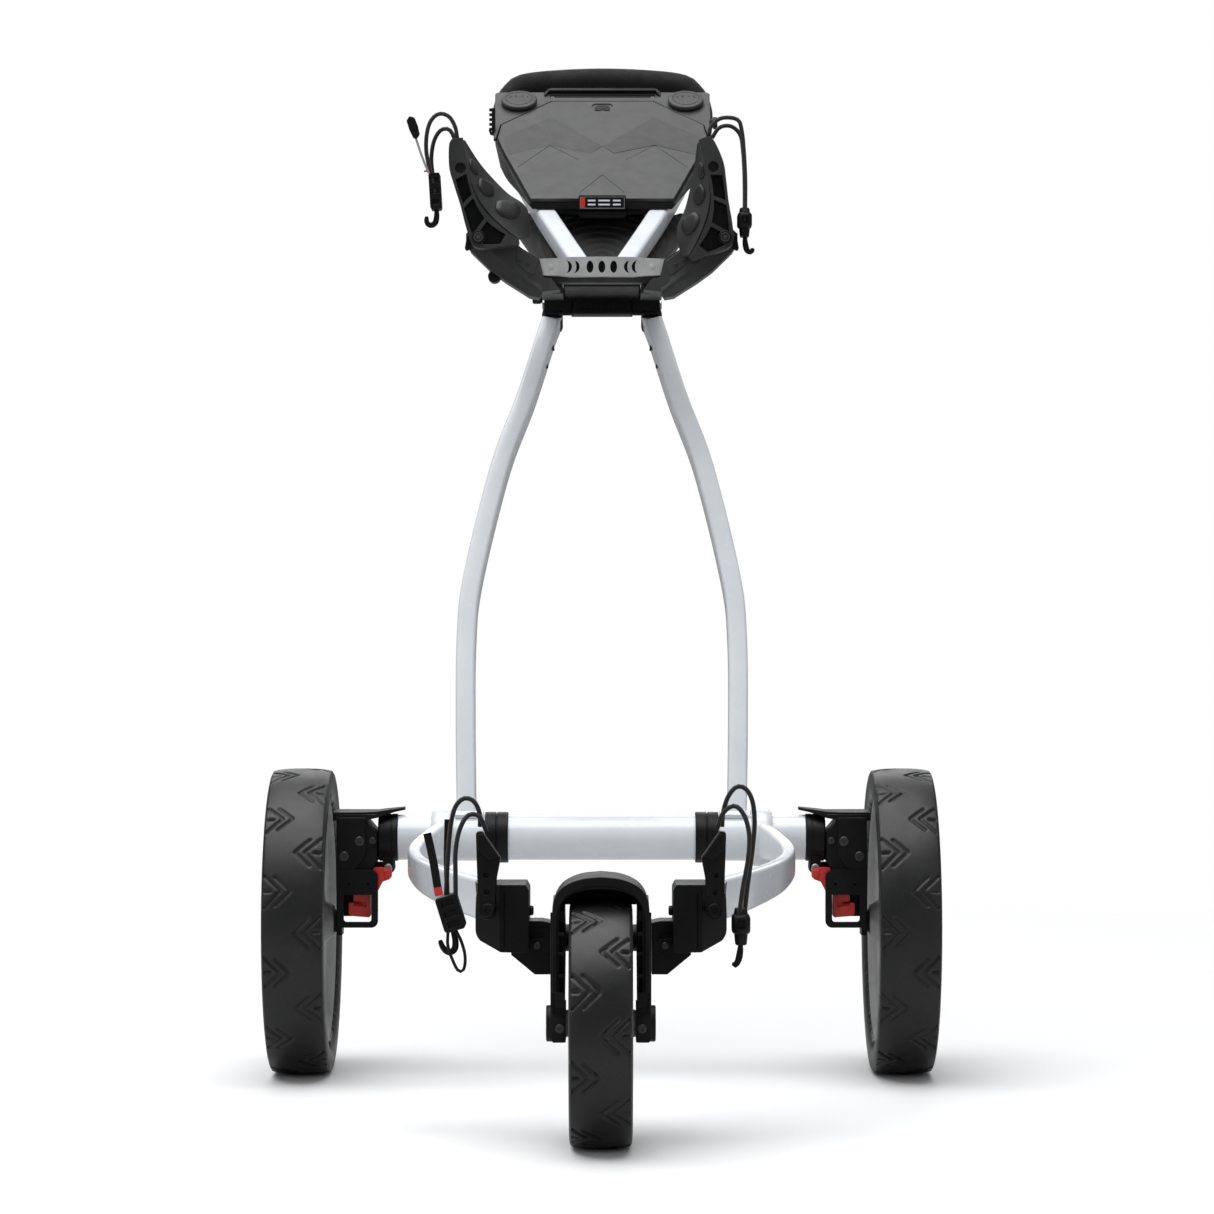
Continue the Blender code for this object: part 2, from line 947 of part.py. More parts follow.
cut(
    barrel,
    cylinder(
        "barrel_bore",
        joint_pivot,
        (1, 0, 0),
        -0.0700,
        0.0700,
        JOINT_PIN_RADIUS + GAP,
        segments=24,
    ),
    cylinder("relief_left", joint_pivot, (-1, 0, 0), 0.0305, 0.0600, NECK_RELIEF),
    cylinder("relief_right", joint_pivot, (1, 0, 0), 0.0305, 0.0600, NECK_RELIEF),
)
cylinder(
    "joint_release_knob",
    (0.0, 0.1800, 0.7520),
    (-1, 0, 0),
    0.0593,
    0.0693,
    0.0058,
    BLACK_PLASTIC,
    20,
)

# Handle tubes and grip
TUBE_START = (0.0265, 0.2200, 0.7760)
TUBE_END = (0.0985, 0.5800, 0.9426)
handle_section = rounded_section(HANDLE_TUBE_WIDTH, HANDLE_TUBE_DEPTH, 0.0070, 3)
for side_name, sign in SIDES:
    start = Vector((sign * TUBE_START[0], *TUBE_START[1:]))
    end = Vector((sign * TUBE_END[0], *TUBE_END[1:]))
    direction = (end - start).normalized()
    tube = sweep(
        "handle_tube_" + side_name,
        [start, start.lerp(end, 0.5), end],
        handle_section,
        WHITE_PAINT,
        (1, 0, 0),
        joint_pivot,
    )
    other_half = sorted((sign * 0.0003, -sign * 0.0500))
    midline = block(
        "handle_midline_" + side_name,
        (other_half[0], 0.1500, 0.7000),
        (other_half[1], 0.3000, 0.9000),
    )
    wedge = prism(
        "neck_clearance_" + side_name,
        [(a + 0.0003, b - 0.0001) for a, b in neck[2:4]]
        + [(JOINT_Y - 0.030, JOINT_Z + 0.050), (JOINT_Y - 0.030, JOINT_Z - 0.010)],
        "X",
        -0.0600,
        0.0600,
    )
    cut(tube, midline, wedge)

GRIP = [
    (0.1000, 0.5872, 0.9460),
    (0.1035, 0.6020, 0.9560),
    (0.1065, 0.6110, 0.9720),
    (0.1065, 0.6125, 0.9910),
    (0.0980, 0.6125, 1.0090),
    (0.0780, 0.6125, 1.0190),
    (0.0000, 0.6125, 1.0235),
]
grip_knots = mirrored(GRIP) + GRIP[-2::-1]
sweep(
    "handle_grip",
    smooth_path(grip_knots, 0.020),
    round_section(0.0145, 16),
    FOAM,
    (0, 1, 0),
    joint_pivot,
)


# Console, in coordinates of its sloping face: across, up the slope, out of the face
def on_console(across, up, out):
    c, s = math.cos(CONSOLE_SLOPE), math.sin(CONSOLE_SLOPE)
    return (across, CONSOLE_Y + c * up - s * out, CONSOLE_Z + s * up + c * out)


def console_floor(y):
    return 0.8630 + 0.4628 * (y - 0.380)


def on_both_sides(half):
    return half + mirrored(half[::-1])


base_half = [(0.0775, 0.0000), (0.1165, 0.1330), (0.1170, 0.2410)]
base_outline = on_both_sides(base_half)
top = [on_console(a, u, -LID_THICKNESS - GAP) for a, u in base_outline]
bottom = [(x * 0.94, y, console_floor(y)) for x, y, z in top]
console = new_object(
    "console_base",
    bottom + top,
    tube_faces(2, len(top)),
    CONSOLE_GREY,
    joint_pivot,
)


def console_prism(name, half, low, high, paint=None, pivot=joint_pivot):
    outline = on_both_sides(half)
    points = [on_console(a, u, out) for out in (low, high) for a, u in outline]
    return new_object(name, points, tube_faces(2, len(outline)), paint, pivot)


lid_hinge = on_console(0.0, LID_HINGE_S, 0.0)
lid_half = [(0.0745, 0.0030), (0.1125, 0.1330), (0.1080, 0.1650), (0.0545, 0.2190)]
console_prism(
    "console_lid", lid_half, -LID_THICKNESS, 0.0, CONSOLE_GREY, lid_hinge
)
upper_panel = console_prism(
    "console_shoulder",
    [
        (0.0553, 0.2210),
        (0.1095, 0.1665),
        (0.1140, 0.1360),
        (0.1165, 0.1345),
        (0.1170, 0.2410),
    ],
    -LID_THICKNESS,
    -0.0003,
    CONSOLE_GREY,
)
slot = console_prism(
    "pen_slot", [(0.0570, 0.2285), (0.0570, 0.2365)], -0.0030, 0.0100
)
cut(upper_panel, slot)
axis_out = (0.0, -math.sin(CONSOLE_SLOPE), math.cos(CONSOLE_SLOPE))
for side_name, sign in SIDES:
    lathe(
        "accessory_disc_" + side_name,
        [
            (0.0, 0.0),
            (0.0, 0.0195),
            (0.0045, 0.0195),
            (0.0060, 0.0180),
            (0.0060, 0.0),
        ],
        on_console(sign * 0.0905, 0.2140, GAP * 0.5),
        axis_out,
        CONSOLE_GREY,
        32,
        closed=False,
    )
block(
    "console_badge",
    (-0.0245, CONSOLE_Y - 0.0080, CONSOLE_Z - 0.0115),
    (0.0245, CONSOLE_Y + 0.0020, CONSOLE_Z - 0.0020),
    BLACK_PLASTIC,
    joint_pivot,
)

# Net pouch stretched below the handle tubes
net_outline = []
for x, share in ((0.0200, 0.06), (0.0640, 0.44)):
    y = TUBE_START[1] + (TUBE_END[1] - TUBE_START[1]) * share
    z = TUBE_START[2] + (TUBE_END[2] - TUBE_START[2]) * share
    net_outline.append((x, y, z))
net_points = []
for drop in (0.0135, 0.0155):
    for x, y, z in net_outline + mirrored(net_outline[::-1]):
        net_points.append((x, y + drop * 0.42, z - drop * 0.907))
new_object("net_pouch", net_points, tube_faces(2, 4), NET, joint_pivot)

# Upper bag bracket
BRACKET_Y = (0.0450, 0.0850)
bracket_left = [
    (-0.0600, 0.7400),
    (-0.0680, 0.7440),
    (-0.0930, 0.7590),
    (-0.1050, 0.7700),
    (-0.1240, 0.7880),
    (-0.1300, 0.8030),
    (-0.1240, 0.8110),
    (-0.1060, 0.8110),
    (-0.0900, 0.8010),
    (-0.0760, 0.7870),
    (-0.0660, 0.7820),
    (-0.0660, 0.7620),
]
bracket_outline = bracket_left + mirrored(bracket_left[::-1])
bag_bracket = prism(
    "upper_bag_bracket",
    bracket_outline,
    "Y",
    *BRACKET_Y,
    BLACK_PLASTIC,
    joint_pivot,
)
for side_name, sign in SIDES:
    x, z = BAG_ARM_PIVOT
    join(
        bag_bracket,
        block(
            "bracket_rail_" + side_name,
            (min(sign * 0.0380, sign * 0.0590), 0.0800, 0.7405),
            (max(sign * 0.0380, sign * 0.0590), 0.1697, 0.7580),
        ),
        cylinder(
            "bag_arm_pin_" + side_name,
            (sign * x, BRACKET_Y[0], z),
            (0, -1, 0),
            -0.0040,
            0.0370,
            0.0045,
            segments=16,
        ),
    )
bar = prism(
    "bag_rest_bar",
    [
        (-0.0656, 0.7625),
        (0.0656, 0.7625),
        (0.0656, 0.7810),
        (-0.0656, 0.7810),
    ],
    "Y",
    0.0470,
    0.0590,
    BAR_GREY,
    joint_pivot,
)
for index in (-1, 0, 1):
    cut(
        bar,
        block(
            "bar_hole_" + str(index + 2),
            (0.0118 * index - 0.0033, 0.0300, 0.7660),
            (0.0118 * index + 0.0033, 0.0800, 0.7775),
        ),
    )

ARM_OUTLINE = [
    (0.1118, 0.7890),
    (0.1180, 0.7870),
    (0.1250, 0.7900),
    (0.1330, 0.8150),
    (0.1430, 0.8500),
    (0.1470, 0.8780),
    (0.1470, 0.8905),
    (0.1340, 0.8905),
    (0.1280, 0.8720),
    (0.1160, 0.8560),
    (0.1000, 0.8420),
    (0.0830, 0.8330),
    (0.0820, 0.8240),
    (0.0950, 0.8170),
    (0.1060, 0.8040),
]
UPPER_ARM_Y = (0.0120, 0.0447)


def turned(outline, centre, angle):
    """Outline turned anticlockwise about centre, in its own two coordinates."""
    spin = Matrix.Rotation(angle, 2)
    done = []
    for pair in outline:
        moved = spin @ (Vector(pair) - Vector(centre)) + Vector(centre)
        done.append((moved.x, moved.y))
    return done


for side_name, sign in SIDES:
    lean = BAG_ARM_RIGHT_TURN if sign > 0 else 0.0
    outline = sided(turned(ARM_OUTLINE, BAG_ARM_PIVOT, lean), sign)
    x, z = BAG_ARM_PIVOT
    arm = prism(
        "upper_bag_arm_" + side_name,
        outline,
        "Y",
        *UPPER_ARM_Y,
        BLACK_PLASTIC,
        (sign * x, BRACKET_Y[0], z),
    )
    cut(
        arm,
        cylinder(
            "bag_arm_bore_" + side_name,
            (sign * x, 0.0, z),
            (0, 1, 0),
            0.0000,
            0.0600,
            0.0048,
            segments=16,
        ),
    )

# Lower bag bracket ears
EAR_OUTLINE = [
    (0.0885, 0.1850),
    (0.0945, 0.1825),
    (0.1005, 0.1860),
    (0.1030, 0.2100),
    (0.1040, 0.2400),
    (0.1035, 0.2560),
    (0.0985, 0.2570),
    (0.0836, 0.2345),
    (0.0870, 0.2200),
    (0.0880, 0.2000),
]
EAR_Y = (-0.4885, -0.4723)
for side_name, sign in SIDES:
    x, z = EAR_PIVOT
    ear = prism(
        "lower_bag_arm_" + side_name,
        sided(EAR_OUTLINE, sign),
        "Y",
        *EAR_Y,
        BLACK_PLASTIC,
        (sign * x, BOX_Y[0], z),
    )
    cut(
        ear,
        cylinder(
            "ear_bore_" + side_name,
            (sign * x, 0.0, z),
            (0, 1, 0),
            -0.5000,
            -0.4500,
            0.0038,
            segments=16,
        ),
    )

# Elastic cords: each is one loop from its arm, through a slider, and back
CORDS = {
    "upper_bag_cord_left": [
        (-0.1385, 0.0200, 0.8930),
        (-0.1405, 0.0197, 0.9040),
        (-0.1465, 0.0195, 0.9140),
        (-0.1560, 0.0195, 0.9165),
        (-0.1640, 0.0195, 0.9095),
        (-0.1678, 0.0195, 0.8960),
        (-0.1680, 0.0195, 0.8790),
        (-0.1640, 0.0195, 0.8600),
        (-0.1595, 0.0195, 0.8410),
        (-0.1590, 0.0280, 0.8325),
        (-0.1595, 0.0365, 0.8410),
        (-0.1625, 0.0365, 0.8590),
        (-0.1640, 0.0362, 0.8760),
        (-0.1615, 0.0355, 0.8920),
        (-0.1550, 0.0347, 0.9025),
        (-0.1465, 0.0340, 0.9030),
        (-0.1410, 0.0335, 0.8930),
    ],
    "upper_bag_cord_right": [
        (0.1150, 0.0198, 0.8955),
        (0.1165, 0.0196, 0.9060),
        (0.1225, 0.0195, 0.9135),
        (0.1300, 0.0195, 0.9110),
        (0.1342, 0.0195, 0.9000),
        (0.1362, 0.0195, 0.8800),
        (0.1375, 0.0195, 0.8550),
        (0.1375, 0.0195, 0.8300),
        (0.1372, 0.0195, 0.8135),
        (0.1372, 0.0280, 0.8050),
        (0.1372, 0.0365, 0.8135),
        (0.1375, 0.0365, 0.8350),
        (0.1372, 0.0363, 0.8600),
        (0.1358, 0.0358, 0.8830),
        (0.1330, 0.0352, 0.8985),
        (0.1265, 0.0346, 0.9065),
        (0.1190, 0.0342, 0.9040),
        (0.1165, 0.0340, 0.8960),
    ],
    "lower_bag_cord_left": [
        (-0.1012, -0.4775, 0.2600),
        (-0.1015, -0.4775, 0.2710),
        (-0.1060, -0.4775, 0.2810),
        (-0.1140, -0.4775, 0.2840),
        (-0.1212, -0.4775, 0.2780),
        (-0.1250, -0.4775, 0.2660),
        (-0.1272, -0.4775, 0.2480),
        (-0.1288, -0.4775, 0.2220),
        (-0.1295, -0.4775, 0.1945),
        (-0.1257, -0.4850, 0.1860),
        (-0.1215, -0.4925, 0.1945),
        (-0.1212, -0.4925, 0.2180),
        (-0.1212, -0.4915, 0.2400),
        (-0.1180, -0.4890, 0.2580),
        (-0.1110, -0.4860, 0.2700),
        (-0.1015, -0.4845, 0.2690),
        (-0.0955, -0.4840, 0.2560),
    ],
    "lower_bag_cord_right": [
        (0.1012, -0.4775, 0.2600),
        (0.1022, -0.4775, 0.2720),
        (0.1062, -0.4775, 0.2850),
        (0.1135, -0.4775, 0.2935),
        (0.1215, -0.4775, 0.2915),
        (0.1268, -0.4775, 0.2810),
        (0.1285, -0.4775, 0.2640),
        (0.1268, -0.4775, 0.2420),
        (0.1228, -0.4775, 0.2120),
        (0.1195, -0.4775, 0.1840),
        (0.1165, -0.4853, 0.1755),
        (0.1150, -0.4935, 0.1840),
        (0.1180, -0.4935, 0.2090),
        (0.1225, -0.4932, 0.2340),
        (0.1235, -0.4918, 0.2540),
        (0.1195, -0.4890, 0.2700),
        (0.1115, -0.4865, 0.2780),
        (0.1020, -0.4850, 0.2720),
        (0.0970, -0.4842, 0.2590),
    ],
}
SLIDERS = {
    "upper_bag_cord_left": ((-0.1690, 0.0150, 0.8270), (-0.1515, 0.0410, 0.8590)),
    "upper_bag_cord_right": ((0.1300, 0.0150, 0.7990), (0.1440, 0.0410, 0.8270)),
    "lower_bag_cord_left": ((-0.1345, -0.4990, 0.1740), (-0.1160, -0.4727, 0.2040)),
    "lower_bag_cord_right": ((0.1090, -0.4990, 0.1620), (0.1245, -0.4727, 0.1930)),
}
HOOK = [
    (0.0000, 0.0080),
    (0.0000, -0.0060),
    (0.0020, -0.0130),
    (0.0080, -0.0160),
    (0.0130, -0.0120),
    (0.0135, -0.0060),
]
for cord_name, knots in CORDS.items():
    route = smooth_path(knots, 0.0105)
    bend = bpy.data.curves.new(cord_name, "CURVE")
    bend.dimensions = "3D"
    bend.bevel_depth = CORD_RADIUS
    bend.bevel_resolution = 2
    bend.use_fill_caps = True
    line = bend.splines.new("POLY")
    line.points.add(len(route) - 1)
    for place, point in zip(line.points, route):
        place.co = (point.x, point.y + AXLE_Y, point.z, 1.0)
    bend.materials.append(CORD)
    cord = bpy.data.objects.new(cord_name, bend)
    bpy.context.scene.collection.objects.link(cord)

    low, high = SLIDERS[cord_name]
    short = cord_name.replace("_cord", "")
    slider = block(short + "_slider", low, high, BLACK_PLASTIC, low)
    channel = sweep(
        short + "_channel",
        route,
        round_section(CORD_RADIUS + 0.0014, 12),
        None,
        (0, 1, 0),
        carried=True,
    )
    cut(slider, channel)
    middle = (Vector(low) + Vector(high)) / 2
    outward = -1 if middle.x < 0 else 1
    hook_path = [
        (middle.x + outward * (a - 0.0060), middle.y, low[2] + b - 0.0003)
        for a, b in HOOK[1:]
    ]
    hook_path.insert(0, (hook_path[0][0], middle.y, low[2] - 0.0004))
    sweep(
        short + "_hook",
        smooth_path(hook_path, 0.0040),
        round_section(0.0022, 10),
        BLACK_PLASTIC,
        (0, 1, 0),
        flat_ends=((0, (0, 0, 1)),),
    )
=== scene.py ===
"""Looks of the three-wheeled folding golf push trolley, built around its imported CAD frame.

Metres, +Z up; the trolley faces -Y. As in the CAD, lengths along Y are measured from
the rear axle, and piece() and cords shift them by AXLE_Y into the frame.
"""

import math

import bmesh
import bpy
import numpy as np
from mathutils import Matrix, Vector


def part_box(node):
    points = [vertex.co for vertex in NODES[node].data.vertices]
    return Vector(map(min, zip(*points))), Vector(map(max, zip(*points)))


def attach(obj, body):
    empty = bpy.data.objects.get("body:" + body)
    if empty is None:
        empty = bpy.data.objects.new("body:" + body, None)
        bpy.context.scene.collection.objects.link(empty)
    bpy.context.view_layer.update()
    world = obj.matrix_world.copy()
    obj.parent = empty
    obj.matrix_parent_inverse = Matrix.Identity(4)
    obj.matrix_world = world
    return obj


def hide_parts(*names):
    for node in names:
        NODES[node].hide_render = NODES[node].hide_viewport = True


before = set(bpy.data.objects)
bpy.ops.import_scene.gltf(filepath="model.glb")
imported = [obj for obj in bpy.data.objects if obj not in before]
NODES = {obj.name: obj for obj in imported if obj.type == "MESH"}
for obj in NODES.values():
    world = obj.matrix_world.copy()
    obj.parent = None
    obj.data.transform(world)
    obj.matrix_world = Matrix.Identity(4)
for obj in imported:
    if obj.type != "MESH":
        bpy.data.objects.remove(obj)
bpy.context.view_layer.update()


def middle(node):
    low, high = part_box(node)
    return (low + high) / 2


AXLE_Y = middle("axle_tube").y
AXLE_Z = middle("axle_tube").z
SIDES = (("left", -1), ("right", 1))

# Camera: level, a little over wheel height, far enough away for a long lens
CAMERA_X = 0.005
CAMERA_HEIGHT = 0.444
CAMERA_DISTANCE = 3.9
CAMERA_LENS = 121.3


def make_camera():
    data = bpy.data.cameras.new("camera")
    data.lens = CAMERA_LENS
    data.sensor_width = 36.0
    data.clip_start = 0.05
    data.clip_end = 200.0
    camera = bpy.data.objects.new("camera", data)
    camera.location = (CAMERA_X, AXLE_Y - CAMERA_DISTANCE, CAMERA_HEIGHT)
    camera.rotation_euler = (math.radians(90), 0.0, 0.0)
    bpy.context.scene.collection.objects.link(camera)
    bpy.context.scene.camera = camera


make_camera()


# Paths and sections
def smooth_path(knots, step):
    """Points at even steps along a Catmull-Rom curve through the knots."""
    knots = [Vector(k) for k in knots]
    padded = [knots[0] * 2 - knots[1], *knots, knots[-1] * 2 - knots[-2]]
    fine = []
    for a, b, c, d in zip(padded, padded[1:], padded[2:], padded[3:]):
        for k in range(40):
            t = k / 40
            fine.append(
                0.5 * (
                    2 * b + (c - a) * t + (
                        2 * a - 5 * b + 4 * c - d
                    ) * t**2 + (3 * b - 3 * c + d - a) * t**3
                )
            )
    fine.append(knots[-1])
    run = [0.0]
    for a, b in zip(fine, fine[1:]):
        run.append(run[-1] + (b - a).length)
    count = max(2, round(run[-1] / step))
    where = np.interp(np.linspace(0, run[-1], count + 1), run, range(len(fine)))
    points = []
    for w in where:
        low = min(int(w), len(fine) - 2)
        points.append(fine[low].lerp(fine[low + 1], w - low))
    return points


def path_length(points):
    return sum((b - a).length for a, b in zip(points, points[1:]))


def mirrored(points):
    return [(-p[0], *p[1:]) for p in points]


def sided(points, sign):
    return [(sign * p[0], *p[1:]) for p in points][::sign]


def round_section(radius, count=16):
    turns = [2 * math.pi * k / count for k in range(count)]
    return [(radius * math.cos(t), radius * math.sin(t)) for t in turns]


def rounded_section(width, height, radius, steps=5):
    """Rounded rectangle, anticlockwise."""
    points = []
    for quarter in range(4):
        sx = 1 if quarter in (0, 3) else -1
        sy = 1 if quarter in (0, 1) else -1
        centre = (sx * (width / 2 - radius), sy * (height / 2 - radius))
        for k in range(steps + 1):
            turn = math.pi / 2 * (quarter + k / steps)
            points.append((centre[0] + radius * math.cos(turn), centre[1] + radius * math.sin(turn)))
    return points


# Shapes are (points, faces), so that they can be joined before they become a piece
def tube_faces(rings, corners):
    faces = [tuple(range(corners - 1, -1, -1))]
    for ring in range(rings - 1):
        for k in range(corners):
            a, b = ring * corners + k, ring * corners + (k + 1) % corners
            faces.append((a, b, b + corners, a + corners))
    last = (rings - 1) * corners
    faces.append(tuple(range(last, last + corners)))
    return faces


def shape_prism(outline, axis, low, high):
    """An outline in the two other coordinates, in order, pushed out along an axis."""
    place = {
        "X": lambda a, b, c: (c, a, b), "Y": lambda a, b, c: (a, c, b), "Z": lambda a, b, c: (a, b, c)
    }[axis]
    points = [place(a, b, c) for c in (low, high) for a, b in outline]
    return points, tube_faces(2, len(outline))


def shape_panel(outline, sign, front, back):
    """An outline in X and Z, mirrored for the left side, pushed out along Y."""
    return shape_prism(sided(outline, sign), "Y", front, back)


def shape_block(low, high):
    outline = [(low[0], low[1]), (high[0], low[1]), (high[0], high[1]), (low[0], high[1])]
    return shape_prism(outline, "Z", low[2], high[2])


def frame_of(axis):
    axis = Vector(axis).normalized()
    hint = Vector((0, 0, 1)) if abs(axis.z) < 0.9 else Vector((1, 0, 0))
    side = hint.cross(axis).normalized()
    return axis, side, axis.cross(side)


def shape_lathe(profile, centre, axis, segments=48, closed=False):
    """(along, radius) pairs turned about an axis; closed joins the last pair to the first."""
    axis, side, up = frame_of(axis)
    centre = Vector(centre)
    points = []
    for along, radius in profile:
        for k in range(segments):
            turn = 2 * math.pi * k / segments
            arm = side * math.cos(turn) + up * math.sin(turn)
            points.append(centre + axis * along + arm * max(radius, 0.00002))
    faces = tube_faces(len(profile), segments)
    if closed:
        last = (len(profile) - 1) * segments
        faces = faces[1:-1]
        for k in range(segments):
            other = (k + 1) % segments
            faces.append((last + k, last + other, other, k))
    return [tuple(p) for p in points], faces


def shape_cylinder(centre, axis, low, high, radius, segments=32, round_edge=0.0):
    e = round_edge
    profile = [(low, 0.0), (low, radius - e)]
    if e:
        profile += [(low + e * 0.3, radius - e * 0.3)]
    profile += [(low + e, radius), (high - e, radius)]
    if e:
        profile += [(high - e * 0.3, radius - e * 0.3), (high, radius - e)]
    profile += [(high, 0.0)]
    return shape_lathe(profile, centre, axis, segments)


def shape_sweep(path, section, side, flat_ends=()):
    """A section, or one for each point, carried along a path; side is its first direction."""
    path = [Vector(p) for p in path]
    many = isinstance(section[0][0], (tuple, list))
    side = Vector(side)
    points = []
    for k, point in enumerate(path):
        ahead = path[min(k + 1, len(path) - 1)] - path[max(k - 1, 0)]
        ahead.normalize()
        for index, normal in flat_ends:
            if k == index % len(path):
                ahead = Vector(normal)
        first = (side - ahead * side.dot(ahead)).normalized()
        second = ahead.cross(first)
        side = first if not flat_ends else side
        for a, b in section[k] if many else section:
            points.append(point + first * a + second * b)
    corners = len(section[0]) if many else len(section)
    return [tuple(p) for p in points], tube_faces(len(path), corners)


def joined(*shapes):
    points, faces = [], []
    for more_points, more_faces in shapes:
        start = len(points)
        points += [tuple(p) for p in more_points]
        faces += [tuple(start + i for i in face) for face in more_faces]
    return points, faces


SCREW_HEIGHT = 0.0012


def screw_head(centre, axis, radius, height=SCREW_HEIGHT):
    """A low round head with a hexagonal socket, its rim rounded."""
    profile = [(0.0, radius), (height * 0.6, radius), (height, radius * 0.86)]
    axis_v, side, up = frame_of(axis)
    shape = shape_lathe(profile + [(height, radius * 0.52)], centre, axis, 24)
    points, faces = list(shape[0]), shape[1][1:-1]
    start, count = len(points), 24
    for depth, reach in ((height, 0.52), (height * 0.15, 0.5)):
        for k in range(count):
            turn = 2 * math.pi * k / count
            wide = math.cos(math.pi / 6) / math.cos((turn % (math.pi / 3)) - math.pi / 6)
            arm = side * math.cos(turn) + up * math.sin(turn)
            far = radius * reach * wide
            points.append(tuple(Vector(centre) + axis_v * depth + arm * far))
    ring = start - count
    for first, second in ((ring, start), (start, start + count)):
        for k in range(count):
            other = (k + 1) % count
            faces.append((first + k, first + other, second + other, second + k))
    faces.append(tuple(start + count + k for k in range(count)))
    return points, faces


# Pieces
def raw_object(name, shape):
    points, faces = shape
    mesh = bpy.data.meshes.new(name)
    mesh.from_pydata([(x, y + AXLE_Y, z) for x, y, z in points], [], faces)
    whole = bmesh.new()
    whole.from_mesh(mesh)
    bmesh.ops.recalc_face_normals(whole, faces=whole.faces)
    if whole.calc_volume(signed=True) < 0:
        bmesh.ops.reverse_faces(whole, faces=whole.faces)
    whole.to_mesh(mesh)
    whole.free()
    made = bpy.data.objects.new(name, mesh)
    bpy.context.scene.collection.objects.link(made)
    return made


def applied(made):
    """Bakes an object's modifiers into its mesh."""
    bpy.context.view_layer.update()
    graph = bpy.context.evaluated_depsgraph_get()
    mesh = bpy.data.meshes.new_from_object(made.evaluated_get(graph))
    made.modifiers.clear()
    made.data = mesh
    return made


def boolean(made, operation, shape):
    other = raw_object("helper", shape)
    step = made.modifiers.new("boolean", "BOOLEAN")
    step.operation = operation
    step.solver = "EXACT"
    step.object = other
    applied(made)
    bpy.data.objects.remove(other)


def piece(
    name, shape, body,
    slot="black_plastic", replaces=(), cuts=(), unions=(), bevel=0.0, bevel_steps=2, limit=32,
    paint=None
):
    """One visible piece: its mesh, its rounded edges, its finish and the body it rides on."""
    made = raw_object(name, shape)
    for other in unions:
        boolean(made, "UNION", other)
    for other in cuts:
        boolean(made, "DIFFERENCE", other)
    made.data.materials.clear()
    made.data.materials.append(paint or PAINTS[slot])
    made.data.shade_smooth()
    if bevel:
        add_bevel(made, bevel, bevel_steps, limit)
    else:
        made.data.set_sharp_from_angle(angle=math.radians(limit))
    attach(made, body)
    if replaces:
        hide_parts(*([replaces] if isinstance(replaces, str) else replaces))
    return made


def add_bevel(made, width, steps=2, limit=32):
    step = made.modifiers.new("bevel", "BEVEL")
    step.width = width
    step.segments = steps
    step.limit_method = "ANGLE"
    step.angle_limit = math.radians(limit)
    step.harden_normals = True


# Materials
def principled(name, sockets):
    made = bpy.data.materials.new(name)
    made.use_nodes = True
    shader = made.node_tree.nodes["Principled BSDF"]
    for socket, value in sockets.items():
        shader.inputs[socket].default_value = value
    return made, made.node_tree, shader


def grey(value, blue=0.0):
    return (value, value, value + blue, 1.0)


def where(tree, scale=(1.0, 1.0, 1.0), output="Object"):
    coordinate = tree.nodes.new("ShaderNodeTexCoord")
    mapping = tree.nodes.new("ShaderNodeMapping")
    mapping.inputs["Scale"].default_value = scale
    tree.links.new(coordinate.outputs[output], mapping.inputs["Vector"])
    return mapping.outputs["Vector"]


def noise(tree, scale, detail=3.0, rough=0.5, at=None):
    made = tree.nodes.new("ShaderNodeTexNoise")
    made.inputs["Scale"].default_value = scale
    made.inputs["Detail"].default_value = detail
    made.inputs["Roughness"].default_value = rough
    tree.links.new(at or where(tree), made.inputs["Vector"])
    return made.outputs["Fac"]


def cells(tree, scale, at=None, feature="F1"):
    made = tree.nodes.new("ShaderNodeTexVoronoi")
    made.feature = feature
    made.inputs["Scale"].default_value = scale
    tree.links.new(at or where(tree), made.inputs["Vector"])
    return made.outputs["Distance"]


def ramp(tree, source, stops):
    made = tree.nodes.new("ShaderNodeValToRGB")
    line = made.color_ramp
    while len(line.elements) < len(stops):
        line.elements.new(0.5)
    for element, (place, colour) in zip(line.elements, stops):
        element.position = place
        element.color = colour
    tree.links.new(source, made.inputs["Fac"])
    return made.outputs["Color"]


def spread(tree, source, low, high, start=0.3, end=0.7):
    """A value that moves from low to high as the source goes from start to end."""
    made = tree.nodes.new("ShaderNodeMapRange")
    made.inputs["From Min"].default_value = start
    made.inputs["From Max"].default_value = end
    made.inputs["To Min"].default_value = low
    made.inputs["To Max"].default_value = high
    tree.links.new(source, made.inputs["Value"])
    return made.outputs["Result"]


def combine(tree, first, second, operation="ADD", clamp=False):
    made = tree.nodes.new("ShaderNodeMath")
    made.operation = operation
    made.use_clamp = clamp
    for socket, source in zip(made.inputs, (first, second)):
        if isinstance(source, (int, float)):
            socket.default_value = source
        else:
            tree.links.new(source, socket)
    return made.outputs["Value"]


def bump(tree, shader, height, distance, strength=1.0):
    made = tree.nodes.new("ShaderNodeBump")
    made.inputs["Strength"].default_value = strength
    made.inputs["Distance"].default_value = distance
    tree.links.new(height, made.inputs["Height"])
    tree.links.new(made.outputs["Normal"], shader.inputs["Normal"])


def finish_of(name, dark, light, rough, grain, depth, patch=25.0, **sockets):
    """A moulded or painted surface: soft colour patches, uneven gloss and a fine grain."""
    values = {key.replace("_", " "): value for key, value in sockets.items()}
    made, tree, shader = principled(name, values)
    patches = noise(tree, patch, 4.0, 0.6)
    colour = ramp(tree, patches, [(0.32, dark), (0.68, light)])
    tree.links.new(colour, shader.inputs["Base Color"])
    gloss = spread(tree, noise(tree, patch * 3.1, 3.0), rough[0], rough[1])
    tree.links.new(gloss, shader.inputs["Roughness"])
    bump(tree, shader, noise(tree, grain, 2.0, 0.6), depth, 0.5)
    return made


